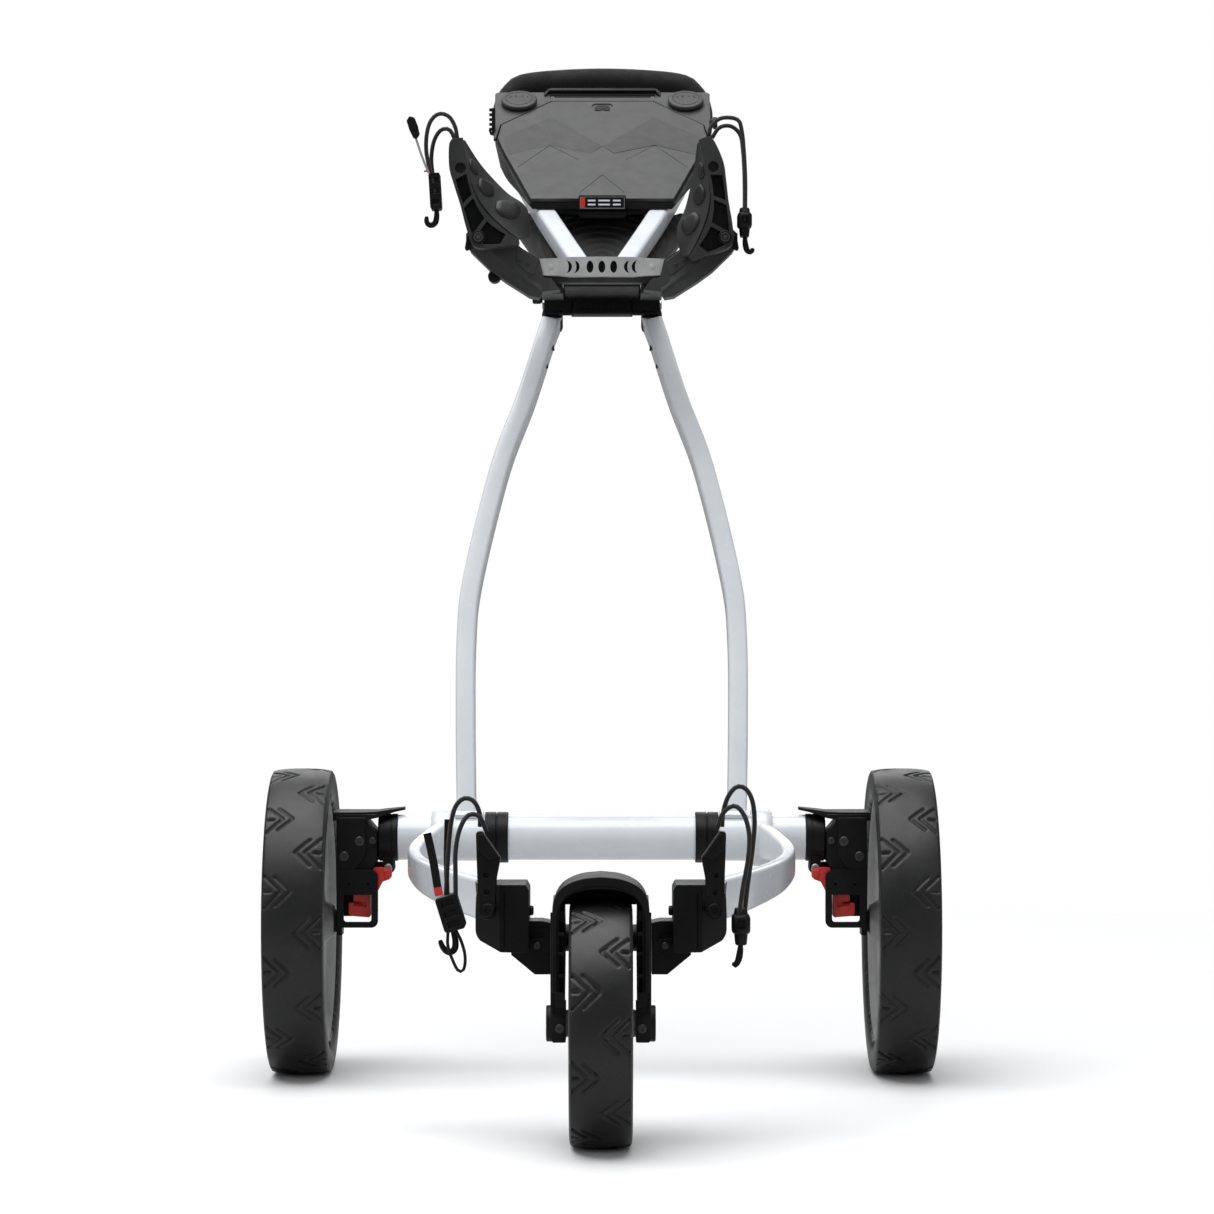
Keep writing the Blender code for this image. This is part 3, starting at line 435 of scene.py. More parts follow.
def rubber(name, dark, light):
    """Tyre rubber: matt, faintly dusty, with a fine moulded texture."""
    made, tree, shader = principled(name, {"Specular IOR Level": 0.42})
    dust = combine(tree, noise(tree, 9.0, 5.0, 0.65), noise(tree, 260.0, 3.0), "MULTIPLY")
    tree.links.new(ramp(tree, dust, [(0.18, dark), (0.42, light)]), shader.inputs["Base Color"])
    gloss = spread(tree, noise(tree, 60.0, 3.0), 0.34, 0.44)
    tree.links.new(gloss, shader.inputs["Roughness"])
    bump(tree, shader, noise(tree, 1600.0, 2.0, 0.7), 0.00025, 0.5)
    return made


def console_plastic(name, dark, light):
    """Grey console plastic with a spark-eroded grain, painted lighter up the slope and darker at its
    foot: painted light from above.
    """
    made, tree, shader = principled(name, {"Specular IOR Level": 0.4})
    coordinate = tree.nodes.new("ShaderNodeTexCoord")
    parts = tree.nodes.new("ShaderNodeSeparateXYZ")
    tree.links.new(coordinate.outputs["Object"], parts.inputs["Vector"])
    low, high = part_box("console_lid")
    # Painted light: the colour gets lighter with height over the lid, as if lit from above, then mixed
    # with random mottling.
    rise = spread(tree, parts.outputs["Z"], 0.15, 0.85, low.z, high.z)
    mottle_and_painted_light = combine(tree, rise, spread(tree, noise(tree, 30.0), -0.08, 0.08))
    tree.links.new(ramp(tree, mottle_and_painted_light, [(0.0, dark), (1.0, light)]), shader.inputs["Base Color"])
    gloss = spread(tree, noise(tree, 70.0), 0.4, 0.52)
    tree.links.new(gloss, shader.inputs["Roughness"])
    bump(tree, shader, noise(tree, 2200.0, 1.0, 0.6), 0.00018, 0.45)
    return made


def foam(name):
    """Soft closed-cell foam with open pores on its skin, the pore hollows painted darker as painted
    shade.
    """
    made, tree, shader = principled(
        name, {"Sheen Weight": 0.12, "Sheen Roughness": 0.5, "Specular IOR Level": 0.2}
    )
    pores = cells(tree, 900.0)
    # Painted shade: darker at the pore centres, where the bump is lowest.
    tree.links.new(
        ramp(tree, pores, [(0.1, grey(0.003)), (0.6, grey(0.008))]), shader.inputs["Base Color"]
    )
    gloss = spread(tree, noise(tree, 80.0), 0.62, 0.8)
    tree.links.new(gloss, shader.inputs["Roughness"])
    height = combine(tree, pores, combine(tree, noise(tree, 60.0), 0.8, "MULTIPLY"))
    bump(tree, shader, height, 0.0005, 0.6)
    return made


def brushed_steel(name):
    made, tree, shader = principled(name, {"Metallic": 1.0})
    lines = noise(tree, 300.0, 2.0, 0.5, where(tree, (0.15, 1.0, 1.0)))
    tree.links.new(
        ramp(tree, lines, [(0.3, grey(0.42)), (0.7, grey(0.58, 0.01))]), shader.inputs["Base Color"]
    )
    tree.links.new(spread(tree, lines, 0.24, 0.38), shader.inputs["Roughness"])
    bump(tree, shader, lines, 0.0001, 0.25)
    return made


def wave(tree, scale, turn, at):
    """Slanted bands on a strip whose two coordinates run around it and along it."""
    spun = tree.nodes.new("ShaderNodeMapping")
    spun.inputs["Rotation"].default_value = (0.0, 0.0, turn)
    tree.links.new(at, spun.inputs["Vector"])
    made = tree.nodes.new("ShaderNodeTexWave")
    made.inputs["Scale"].default_value = scale
    made.inputs["Distortion"].default_value = 0.4
    tree.links.new(spun.outputs["Vector"], made.inputs["Vector"])
    return made.outputs["Fac"]


def braid(name):
    """Woven sleeve of the elastic cords: two crossing sets of yarn, painted darker between the yarns as
    painted shade.
    """
    made, tree, shader = principled(
        name, {"Sheen Weight": 0.3, "Sheen Roughness": 0.4, "Specular IOR Level": 0.3}
    )
    at = where(tree, (1.0, 1.0, 1.0), "UV")
    yarn = combine(tree, wave(tree, 3.0, 0.7, at), wave(tree, 3.0, -0.7, at), "MAXIMUM")
    # Painted shade: darker where both sets of yarn are low, in the gaps between them.
    tree.links.new(
        ramp(tree, yarn, [(0.2, grey(0.005)), (0.9, grey(0.022))]), shader.inputs["Base Color"]
    )
    tree.links.new(spread(tree, yarn, 0.75, 0.5, 0.0, 1.0), shader.inputs["Roughness"])
    bump(tree, shader, yarn, 0.0004, 0.7)
    return made


def woven_net(name):
    """Knitted elastic net: fine wales crossed by courses, the openings between them painted near black
    as painted shade.
    """
    made, tree, shader = principled(
        name, {"Sheen Weight": 0.15, "Sheen Roughness": 0.4, "Specular IOR Level": 0.2}
    )
    at = where(tree)
    holes = combine(tree, wave(tree, 260.0, 0.6, at), wave(tree, 260.0, -0.6, at), "MINIMUM")
    # Painted shade: near black in the low openings between the wales and courses.
    tree.links.new(
        ramp(tree, holes, [(0.1, grey(0.002)), (0.7, grey(0.026))]), shader.inputs["Base Color"]
    )
    tree.links.new(spread(tree, holes, 0.85, 0.6, 0.0, 1.0), shader.inputs["Roughness"])
    bump(tree, shader, holes, 0.0006, 0.8)
    return made


PAINTS = {
    "white_paint": finish_of(
        "white_paint", (0.73, 0.765, 0.81, 1.0), (0.78, 0.81, 0.85, 1.0), (0.2, 0.28), 700.0, 0.00006,
        Coat_Weight=0.5, Coat_Roughness=0.08
    ),
    "black_plastic": finish_of(
        "black_plastic", grey(0.0035), grey(0.0085), (0.34, 0.48), 2600.0, 0.00016,
        Specular_IOR_Level=0.17
    ), "console_grey": console_plastic("console_grey", grey(0.046), grey(0.054)),
    "tyre_rubber": rubber("tyre_rubber", grey(0.006), grey(0.011)),
    "rim_grey": finish_of("rim_grey", grey(0.25), grey(0.33), (0.45, 0.6), 1500.0, 0.0003, 40.0),
    "lever_red": finish_of(
        "lever_red", (0.56, 0.022, 0.02, 1.0), (0.68, 0.035, 0.028, 1.0), (0.28, 0.38), 2400.0, 0.00012
    ), "grip_foam": foam("grip_foam"),
    "bar_grey": finish_of("bar_grey", grey(0.34), grey(0.46), (0.42, 0.55), 2000.0, 0.0002, 60.0),
    "steel": brushed_steel("steel"), "pouch_net": woven_net("pouch_net"),
    "elastic_cord": braid("elastic_cord")
}

# The bracket's black plastic painted lighter than the other black parts: painted light from above, as on
# its lit upper wing faces.
BRACKET_LIT_GREY = finish_of(
    "bracket_painted_light", grey(0.034), grey(0.054), (0.36, 0.5), 2600.0, 0.00016,
    Specular_IOR_Level=0.36
)
# Dark grey of the bag arms; on the lower faces of the bracket wings it is painted shade against the lit
# upper faces.
ARM_GREY_AND_FACE_SHADE = finish_of(
    "arm_grey_and_face_shade", grey(0.023), grey(0.039), (0.36, 0.5), 2600.0, 0.00016,
    Specular_IOR_Level=0.36
)

BLACK_STEEL = finish_of(
    "black_steel", grey(0.034), grey(0.058), (0.26, 0.38), 1800.0, 0.00008,
    Metallic=0.55, Specular_IOR_Level=0.6
)


# Elastic cords: the routes of their CAD tubes; the upper right one's ends follow its arm
CORD_RADIUS = 0.002
CORDS = {
    "upper_bag_cord_left": [
        (-0.1385, 0.02, 0.893), (-0.1405, 0.0197, 0.904), (-0.1465, 0.0195, 0.914),
        (-0.156, 0.0195, 0.9165), (-0.164, 0.0195, 0.9095), (-0.1678, 0.0195, 0.896),
        (-0.168, 0.0195, 0.879), (-0.164, 0.0195, 0.86), (-0.1595, 0.0195, 0.841),
        (-0.159, 0.028, 0.8325), (-0.1595, 0.0365, 0.841), (-0.1625, 0.0365, 0.859),
        (-0.164, 0.0362, 0.876), (-0.1615, 0.0355, 0.892), (-0.155, 0.0347, 0.9025),
        (-0.1465, 0.034, 0.903), (-0.141, 0.0335, 0.893)
    ],
    "upper_bag_cord_right": [
        (0.1022, 0.0198, 0.895), (0.105, 0.0196, 0.905), (0.115, 0.0195, 0.9125), (0.13, 0.0195, 0.911),
        (0.1342, 0.0195, 0.9), (0.1362, 0.0195, 0.88), (0.1375, 0.0195, 0.855), (0.1375, 0.0195, 0.83),
        (0.1372, 0.0195, 0.8135), (0.1372, 0.028, 0.805), (0.1372, 0.0365, 0.8135),
        (0.1375, 0.0365, 0.835), (0.1372, 0.0363, 0.86), (0.1358, 0.0358, 0.883),
        (0.133, 0.0352, 0.8985), (0.124, 0.0346, 0.9065), (0.113, 0.0342, 0.905), (0.106, 0.034, 0.895)
    ],
    "lower_bag_cord_left": [
        (-0.1012, -0.4775, 0.26), (-0.1015, -0.4775, 0.271), (-0.106, -0.4775, 0.281),
        (-0.114, -0.4775, 0.284), (-0.1212, -0.4775, 0.278), (-0.125, -0.4775, 0.266),
        (-0.1272, -0.4775, 0.248), (-0.1288, -0.4775, 0.222), (-0.1295, -0.4775, 0.1945),
        (-0.1257, -0.485, 0.186), (-0.1215, -0.4925, 0.1945), (-0.1212, -0.4925, 0.218),
        (-0.1212, -0.4915, 0.24), (-0.118, -0.489, 0.258), (-0.111, -0.486, 0.27),
        (-0.1015, -0.4845, 0.269), (-0.0955, -0.484, 0.256)
    ],
    "lower_bag_cord_right": [
        (0.1012, -0.4775, 0.26), (0.1022, -0.4775, 0.272), (0.1062, -0.4775, 0.285),
        (0.1135, -0.4775, 0.2935), (0.1215, -0.4775, 0.2915), (0.1268, -0.4775, 0.281),
        (0.1285, -0.4775, 0.264), (0.1268, -0.4775, 0.242), (0.1228, -0.4775, 0.212),
        (0.1195, -0.4775, 0.184), (0.1165, -0.4853, 0.1755), (0.115, -0.4935, 0.184),
        (0.118, -0.4935, 0.209), (0.1225, -0.4932, 0.234), (0.1235, -0.4918, 0.254),
        (0.1195, -0.489, 0.27), (0.1115, -0.4865, 0.278), (0.102, -0.485, 0.272),
        (0.097, -0.4842, 0.259)
    ]
}


def cord_piece(name, knots):
    """A braided tube along the route, with coordinates around it and along it."""
    route = smooth_path(knots, 0.0035)
    count = 12
    made = raw_object(name + "_braid", shape_sweep(route, round_section(CORD_RADIUS, count), (0, 1, 0)))
    layer = made.data.uv_layers.new(name="UVMap")
    run = [0.0]
    for a, b in zip(route, route[1:]):
        run.append(run[-1] + (b - a).length / (2 * math.pi * CORD_RADIUS))
    for face in made.data.polygons:
        corners = [made.data.loops[i].vertex_index % count for i in face.loop_indices]
        wraps = max(corners) - min(corners) > count / 2
        for index, corner in zip(face.loop_indices, corners):
            ring = made.data.loops[index].vertex_index // count
            around = 1.0 if wraps and corner == 0 else corner / count
            layer.data[index].uv = (around, run[ring])
    made.data.materials.append(PAINTS["elastic_cord"])
    made.data.shade_smooth()
    return made, [Vector((p.x, p.y + AXLE_Y, p.z)) for p in route]


for cord_name, knots in CORDS.items():
    made, route = cord_piece(cord_name, knots)
    body = cord_name.replace("_cord", "_arm")
    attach(made, body)
    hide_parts(cord_name)


# Wheels
def grid_lathe(profile, centre, axis, around, warp, closed):
    """A fine lathe whose (along, radius) at each angle passes through warp()."""
    axis, side, up = frame_of(axis)
    centre = Vector(centre)
    points = []
    for along, radius in profile:
        for k in range(around):
            turn = 2 * math.pi * k / around
            a, r = warp(turn, along, radius)
            points.append(centre + axis * a + (side * math.cos(turn) + up * math.sin(turn)) * r)
    faces = []
    for ring in range(len(profile) - 1 + closed):
        low, high = ring * around, (ring + 1) % len(profile) * around
        for k in range(around):
            other = (k + 1) % around
            faces.append((low + k, low + other, high + other, high + k))
    return points, faces


def smoothstep(value, low, high):
    t = min(1.0, max(0.0, (value - low) / (high - low)))
    return t * t * (3 - 2 * t)


def distance_to(point, start, end):
    ax, ay = end[0] - start[0], end[1] - start[1]
    px, py = point[0] - start[0], point[1] - start[1]
    share = min(1.0, max(0.0, (px * ax + py * ay) / (ax * ax + ay * ay)))
    return math.hypot(px - share * ax, py - share * ay)


# Tread mark: two nested arrows and a dash, within a square of 2 x 2 units
TREAD_MARK = [
    ((-1.0, -0.8), (0.0, 0.2)), ((0.0, 0.2), (1.0, -0.8)), ((-0.75, -0.05), (0.0, 0.7)),
    ((0.0, 0.7), (0.75, -0.05)), ((0.0, -0.75), (0.0, -0.25))
]
MARK_SIZE = 0.018
MARK_DEPTH = 0.0018
MARK_LINE = 0.0012
TREAD_STEP = 0.0012
CROWN_SHARE = 0.93
CROWN_DROP = 0.08




def tread_depth(run, along, pitch, columns):
    """Depth of the moulded marks at a place on the tread, run metres round it."""
    deepest = 0.0
    number = round(run / pitch)
    for index in (number - 1, number, number + 1):
        centre = columns if index % 2 else -columns
        inward = -math.copysign(1.0, centre) * (along - centre)
        point = ((run - index * pitch) / MARK_SIZE, inward / MARK_SIZE)
        if max(abs(point[0]), abs(point[1])) > 1.3:
            continue
        near = min(distance_to(point, *line) for line in TREAD_MARK) * MARK_SIZE
        deepest = max(deepest, 1 - smoothstep(near, MARK_LINE * 0.6, MARK_LINE * 1.5))
    return deepest * MARK_DEPTH


def tyre(node, body, centre, axis, half, inner, outer, around, marks):
    wall = outer - inner
    pitch = 2 * math.pi * outer / marks
    side_knots = [
        (half * 0.84, inner, 0.0), (half * 0.93, inner + wall * 0.13, 0.0),
        (half * 0.97, inner + wall * 0.26, 0.0), (half * 0.985, inner + wall * 0.3, 0.0),
        (half * 0.985, inner + wall * 0.36, 0.0), (half * 1.0, inner + wall * 0.5, 0.0),
        (half * 0.995, inner + wall * 0.68, 0.0), (half * 0.975, inner + wall * 0.83, 0.0),
        (half * 0.93, inner + wall * 0.92, 0.0)
    ]
    side_profile = [(p.x, p.y) for p in smooth_path(side_knots, 0.0024)]
    steps = round(half * CROWN_SHARE * 2 / TREAD_STEP)
    crown = []
    for k in range(1, steps):
        share = 1 - 2 * k / steps
        drop = wall * CROWN_DROP * abs(share) ** 3
        crown.append((half * CROWN_SHARE * share, outer - drop))
    profile = side_profile + crown + [(-a, r) for a, r in side_profile[::-1]]

    def warp(turn, along, radius):
        if abs(along) > half * 0.91:
            return along, radius
        return along, radius - tread_depth(turn * outer, along, pitch, half * 0.5)

    shape = grid_lathe(profile, centre, axis, around, warp, 1)
    made = piece(node + "_tread", shape, body, "tyre_rubber", node, limit=60)
    # Faces deep in the moulded marks take a darker rubber: painted shade in the grooves.
    made.data.materials.append(GROOVE_SHADE_RUBBER)
    hub = Vector(centre)
    for face in made.data.polygons:
        place = face.center - Vector((0, AXLE_Y, 0)) - hub
        along = abs(place.x)
        if along > half * 0.9:
            continue
        surface = outer - wall * CROWN_DROP * (along / (half * CROWN_SHARE)) ** 3
        if surface - math.hypot(place.y, place.z) > MARK_DEPTH * 0.5:
            face.material_index = 1
    return made


# Darker rubber for the floors of the tread marks: painted shade.
GROOVE_SHADE_RUBBER = rubber("groove_painted_shade", grey(0.0035), grey(0.006))


WHEEL_X = 0.28475
WHEEL_RADIUS = 0.145
TYRE_HALF_WIDTH = 0.029
RIM_RADIUS = 0.1177
STEP_ON_RIM = 0.0045
SPOKES = 5


def spoke_share(turn, radius, narrow, wide):
    """1 on a spoke and 0 between spokes, with soft flanks."""
    nearest = (turn * SPOKES / (2 * math.pi) + 0.5) % 1.0 - 0.5
    offset = abs(nearest) * 2 * math.pi / SPOKES * radius
    width = narrow + (wide - narrow) * smoothstep(radius, 0.03, 0.1)
    return 1 - smoothstep(offset, width, width + 0.006)


def in_short_steps(knots):
    """The straight lines between the knots, cut into lengths of about STEP_ON_RIM."""
    profile = []
    for (a, r), (b, q) in zip(knots, knots[1:]):
        count = max(1, round(math.hypot(b - a, q - r) / STEP_ON_RIM))
        profile += [(a + (b - a) * k / count, r + (q - r) * k / count) for k in range(count)]
    return profile + [knots[-1]]


def rim(node, body, centre, sign):
    """Moulded disc wheel: five broad spokes outside, shallow ribs inside."""
    half, radius = TYRE_HALF_WIDTH, RIM_RADIUS
    knots = [
        (half * 0.45, 0.024), (half * 0.42, 0.033), (half * 0.32, 0.06), (half * 0.3, 0.088),
        (half * 0.34, 0.1), (half * 0.62, 0.106), (half * 0.8, 0.1085), (half * 0.84, 0.1105),
        (half * 0.82, radius - 0.0006), (-half * 0.82, radius - 0.0006), (-half * 0.84, 0.1125),
        (-half * 0.78, 0.1105), (-half * 0.62, 0.1085), (-half * 0.56, 0.104), (-half * 0.54, 0.07),
        (-half * 0.52, 0.046), (-half * 0.6, 0.04), (-half * 0.7, 0.025), (-half * 0.72, 0.02),
        (-half * 1.02, 0.015), (-half * 1.06, 0.0085)
    ]
    profile = in_short_steps(knots)

    def warp(turn, along, r):
        band = smoothstep(r, 0.03, 0.04) * (1 - smoothstep(r, 0.094, 0.104))
        if along > 0:
            return along + 0.006 * band * spoke_share(turn, r, 0.008, 0.012), r
        return along - 0.0012 * band * spoke_share(turn + 0.6, r, 0.0018, 0.0018), r

    hub = grid_lathe(profile, centre, (sign, 0, 0), 240, warp, 0)
    return piece(node + "_disc", hub, body, "rim_grey", node, limit=28)


def hub_cap(name, body, centre, sign):
    """Domed cap over the quick-release hub, with a ring of shallow finger flats."""
    profile = [
        (0.0105, 0.0262), (0.02, 0.025), (0.0235, 0.0238), (0.0262, 0.021), (0.027, 0.018),
        (0.0258, 0.015), (0.0262, 0.012), (0.0268, 0.0)
    ]

    def warp(turn, along, radius):
        if radius > 0.0205:
            radius -= 0.0012 * smoothstep(math.cos(turn * 10), 0.2, 0.9)
        return along, max(radius, 0.00002)

    return piece(name, grid_lathe(profile, centre, (sign, 0, 0), 120, warp, 0), body, limit=40)


for side_name, sign in SIDES:
    centre = (sign * WHEEL_X, 0.0, WHEEL_RADIUS)
    body = "rear_wheel_" + side_name
    tyre(
        "rear_tyre_" + side_name, body, centre, (sign, 0, 0), TYRE_HALF_WIDTH, RIM_RADIUS + 0.0003,
        WHEEL_RADIUS, 720, 24
    )
    rim("rear_rim_" + side_name, body, centre, sign)
    hub_cap("rear_hub_cap_" + side_name, body, centre, sign)

FRONT_WHEEL = (0.0, -0.54, 0.102)
tyre("front_tyre", "front_wheel", FRONT_WHEEL, (1, 0, 0), 0.026, 0.078, 0.102, 504, 18)


def front_rim():
    """Both faces alike: a dished web with five broad spokes and a stepped hub."""
    half = [
        (0.029, 0.0054), (0.029, 0.0108), (0.026, 0.0116), (0.0135, 0.015), (0.0085, 0.026),
        (0.008, 0.06), (0.0105, 0.0655), (0.02, 0.0705), (0.0215, 0.0725), (0.0215, 0.0774)
    ]
    knots = half + [(-a, r) for a, r in half[::-1]]
    profile = in_short_steps(knots)

    def warp(turn, along, r):
        band = smoothstep(r, 0.018, 0.026) * (1 - smoothstep(r, 0.056, 0.066))
        raised = 0.0045 * band * spoke_share(turn, r, 0.006, 0.009)
        return along + math.copysign(raised, along), r

    shape = grid_lathe(profile, FRONT_WHEEL, (1, 0, 0), 180, warp, 1)
    piece("front_rim_disc", shape, "front_wheel", "rim_grey", "front_rim", limit=28)


front_rim()

def screw(name, centre, axis, radius, body, slot="black_plastic", height=SCREW_HEIGHT, paint=None):
    """A screw head as a piece of its own."""
    piece(name, screw_head(centre, axis, radius, height), body, slot, paint=paint, limit=30)


# Rear axle and its fittings
PIVOT_COLLAR_X = (0.089, 0.111)


def axle_fittings():
    for side_name, sign in SIDES:
        low, high = PIVOT_COLLAR_X
        rings = []
        split = (low + high) / 2
        for a, b in ((low, split - 0.0004), (split + 0.0004, high)):
            rings.append(
                shape_lathe(
                    [
                        (a, 0.0219), (a, 0.0236), (a + 0.0006, 0.0242), (b - 0.0006, 0.0242),
                        (b, 0.0236), (b, 0.0219)
                    ], (0.0, 0.0, AXLE_Z), (sign, 0, 0), 64,
                    closed=True
                )
            )
        rings.append(
            shape_lathe(
                [
                    (low + 0.001, 0.0219), (low + 0.001, 0.023), (high - 0.001, 0.023),
                    (high - 0.001, 0.0219)
                ], (0.0, 0.0, AXLE_Z), (sign, 0, 0), 64,
                closed=True
            )
        )
        piece(
            "pivot_collar_ring_" + side_name, joined(*rings), "lower_frame",
            replaces="pivot_collar_" + side_name, limit=30
        )
        low, high = 0.194, 0.2124
        sleeve = shape_lathe(
            [
                (low - 0.028, 0.0), (low - 0.028, 0.0185), (low, 0.0185), (low, 0.0219),
                (low + 0.0006, 0.0225), (low + 0.0052, 0.0225), (low + 0.0056, 0.0221),
                (low + 0.0064, 0.0221), (low + 0.0068, 0.0225), (high - 0.0012, 0.0225), (high, 0.0213),
                (high, 0.0)
            ], (0.0, 0.0, AXLE_Z), (sign, 0, 0), 64
        )
        lug = [
            (0.1985, 0.208), (0.1972, 0.196), (0.2, 0.191), (0.203, 0.1902), (0.206, 0.191),
            (0.2088, 0.196), (0.2075, 0.208)
        ]
        piece(
            "axle_end_sleeve_" + side_name, sleeve, "lower_frame",
            replaces="axle_end_collar_" + side_name,
            unions=[
                shape_panel(lug, sign, -0.015, -0.008), shape_panel(lug, sign, 0.008, 0.015),
                shape_cylinder((sign * 0.203, 0, 0.196), (0, 1, 0), -0.012, 0.012, 0.003, 20)
            ], limit=30
        )
        screw(
            "fold_pin_head_" + side_name, (sign * 0.203, -0.015, 0.196), (0, -1, 0), 0.0042,
            "lower_frame",
            slot="steel"
        )


axle_fittings()


# Folding wheel carriers: side housing, outer plate, lever guard and cover
def arc(centre, radius, start, end, count):
    """Points of an arc, in degrees, in the outline's own two coordinates."""
    points = []
    for k in range(count + 1):
        turn = math.radians(start + (end - start) * k / count)
        points.append((centre[0] + radius * math.cos(turn), centre[1] + radius * math.sin(turn)))
    return points


def carrier(side_name, sign):
    body = "wheel_carrier_" + side_name
    pin = (sign * 0.203, 0.0, 0.196)
    housing = [
        (0.213, 0.203), (0.213, 0.23), (0.2215, 0.24), (0.2215, 0.2472), (0.251, 0.2472), (0.251, 0.15),
        (0.234, 0.15), (0.234, 0.178), (0.218, 0.196)
    ]
    guard = [
        *arc((0.216, 0.1895), 0.0045, 180, 128, 3), (0.218, 0.196), (0.25, 0.196), (0.25, 0.141),
        *arc((0.2175, 0.147), 0.006, 270, 180, 5)
    ][::-1]
    window = [
        *arc((0.2205, 0.149), 0.0028, 180, 270, 4), *arc((0.2412, 0.149), 0.0028, 270, 360, 4),
        (0.244, 0.172), (0.2177, 0.172)
    ]
    web = [(0.205, 0.1905), (0.22, 0.1905), (0.22, 0.201), (0.205, 0.201)]
    low, high = sorted((sign * 0.19, sign * 0.246))
    bar = sorted((sign * 0.2467, sign * 0.2514))
    made = piece(
        "carrier_housing_" + side_name, shape_panel(housing, sign, -0.03, 0.03), body,
        replaces=body,
        unions=[
            shape_panel(guard, sign, -0.036, -0.0295),
            shape_block((bar[0], -0.014, 0.132), (bar[1], 0.014, 0.2)),
            shape_cylinder((0, 0, WHEEL_RADIUS), (sign, 0, 0), 0.248, 0.26, 0.011, 32),
            shape_cylinder(pin, (0, 1, 0), -0.0077, 0.0077, 0.006, 24),
            shape_panel(web, sign, -0.0077, 0.0077)
        ],
        cuts=[
            shape_panel(window, sign, -0.05, -0.02),
            shape_block((low, -0.0294, 0.143), (high, -0.01, 0.199)),
            shape_cylinder(pin, (0, 1, 0), -0.05, 0.05, 0.0033, 16),
            *(
                shape_cylinder(
                    (sign * x, -0.036, 0.1822), (0, 1, 0), -0.002, 0.0045, 0.0013, 16
                ) for x in (0.2208, 0.2392)
            )
        ], bevel=0.0005
    )
    plate = [
        (0.2505, 0.156), (0.2505, 0.245), (0.2225, 0.245), *arc((0.2535, 0.22), 0.031, 160, 228, 10),
        (0.247, 0.166)
    ]
    piece(
        "carrier_plate_" + side_name, shape_panel(plate, sign, -0.0352, -0.0295), body,
        bevel=0.001, bevel_steps=3
    )
    for index, (x, z, radius) in enumerate(
        ((0.2291, 0.2226, 0.0046), (0.2437, 0.2084, 0.0046), (0.2173, 0.2229, 0.0034))
    ):
        front = -0.03 if index == 2 else -0.0352
        screw(
            f"carrier_screw_{index + 1}_{side_name}", (sign * x, front, z), (0, -1, 0), radius, body,
            paint=BLACK_STEEL
        )
    points, count = [], 7
    for x, z, front in (
        (0.1872, 0.2508, 0.004), (0.196, 0.2499, 0.012), (0.206, 0.2488, 0.019),
        (0.213, 0.2478, 0.0235), (0.225, 0.2476, 0.03), (0.2545, 0.2476, 0.033)
    ):
        for k in range(count):
            share = -1 + 2 * k / (count - 1)
            crown = 0.0032 - 0.001 * share * share
            points.append((sign * x, share * front, z + crown))
        thick = 0.0058 * smoothstep(x, 0.1872, 0.23)
        points.append((sign * x, front, z - thick))
        points.append((sign * x, -front, z - thick))
    piece(
        "carrier_fin_" + side_name, (points, tube_faces(6, count + 2)), body,
        replaces="carrier_cover_" + side_name, bevel=0.0004
    )
    skirt = [(0.2545, 0.2476), (0.2545, 0.2425), (0.222, 0.2425), (0.213, 0.2478)]
    piece("carrier_skirt_" + side_name, shape_panel(skirt, sign, -0.0328, -0.03), body, bevel=0.0005)


def release_lever(side_name, sign):
    outline = [
        (0.2185, 0.152), *arc((0.2215, 0.153), 0.003, 180, 250, 3), (0.237, 0.1515),
        *arc((0.2372, 0.1545), 0.0024, 290, 360, 3), (0.2395, 0.164), (0.235, 0.164), (0.235, 0.19),
        (0.218, 0.19), (0.2165, 0.1972), (0.2075, 0.1975), (0.206, 0.1965), (0.2015, 0.1962),
        (0.199, 0.1942), (0.199, 0.1885), (0.201, 0.1862), (0.2075, 0.1838), (0.212, 0.175),
        (0.2185, 0.172)
    ]
    groove = [(0.223, 0.16), (0.235, 0.162), (0.235, 0.1655), (0.223, 0.1655)]
    piece(
        "release_lever_blade_" + side_name, shape_panel(outline, sign, -0.0285, -0.0175),
        "release_lever_" + side_name, "lever_red", "release_lever_" + side_name,
        cuts=[shape_panel(groove, sign, -0.03, -0.0262)], bevel=0.0008
    )
    thumb = [(0.1996, 0.189), (0.2048, 0.1872), (0.2062, 0.195), (0.2008, 0.195)]
    piece(
        "release_lever_thumb_" + side_name, shape_panel(thumb, sign, -0.0296, -0.0284),
        "release_lever_" + side_name, "lever_red",
        bevel=0.0006
    )


for side_name, sign in SIDES:
    carrier(side_name, sign)
    release_lever(side_name, sign)


# Front fork: a smooth hood over the tyre, two ribbed legs and the axle housings
FORK_PIVOT = (0.0, -0.43, 0.1635)



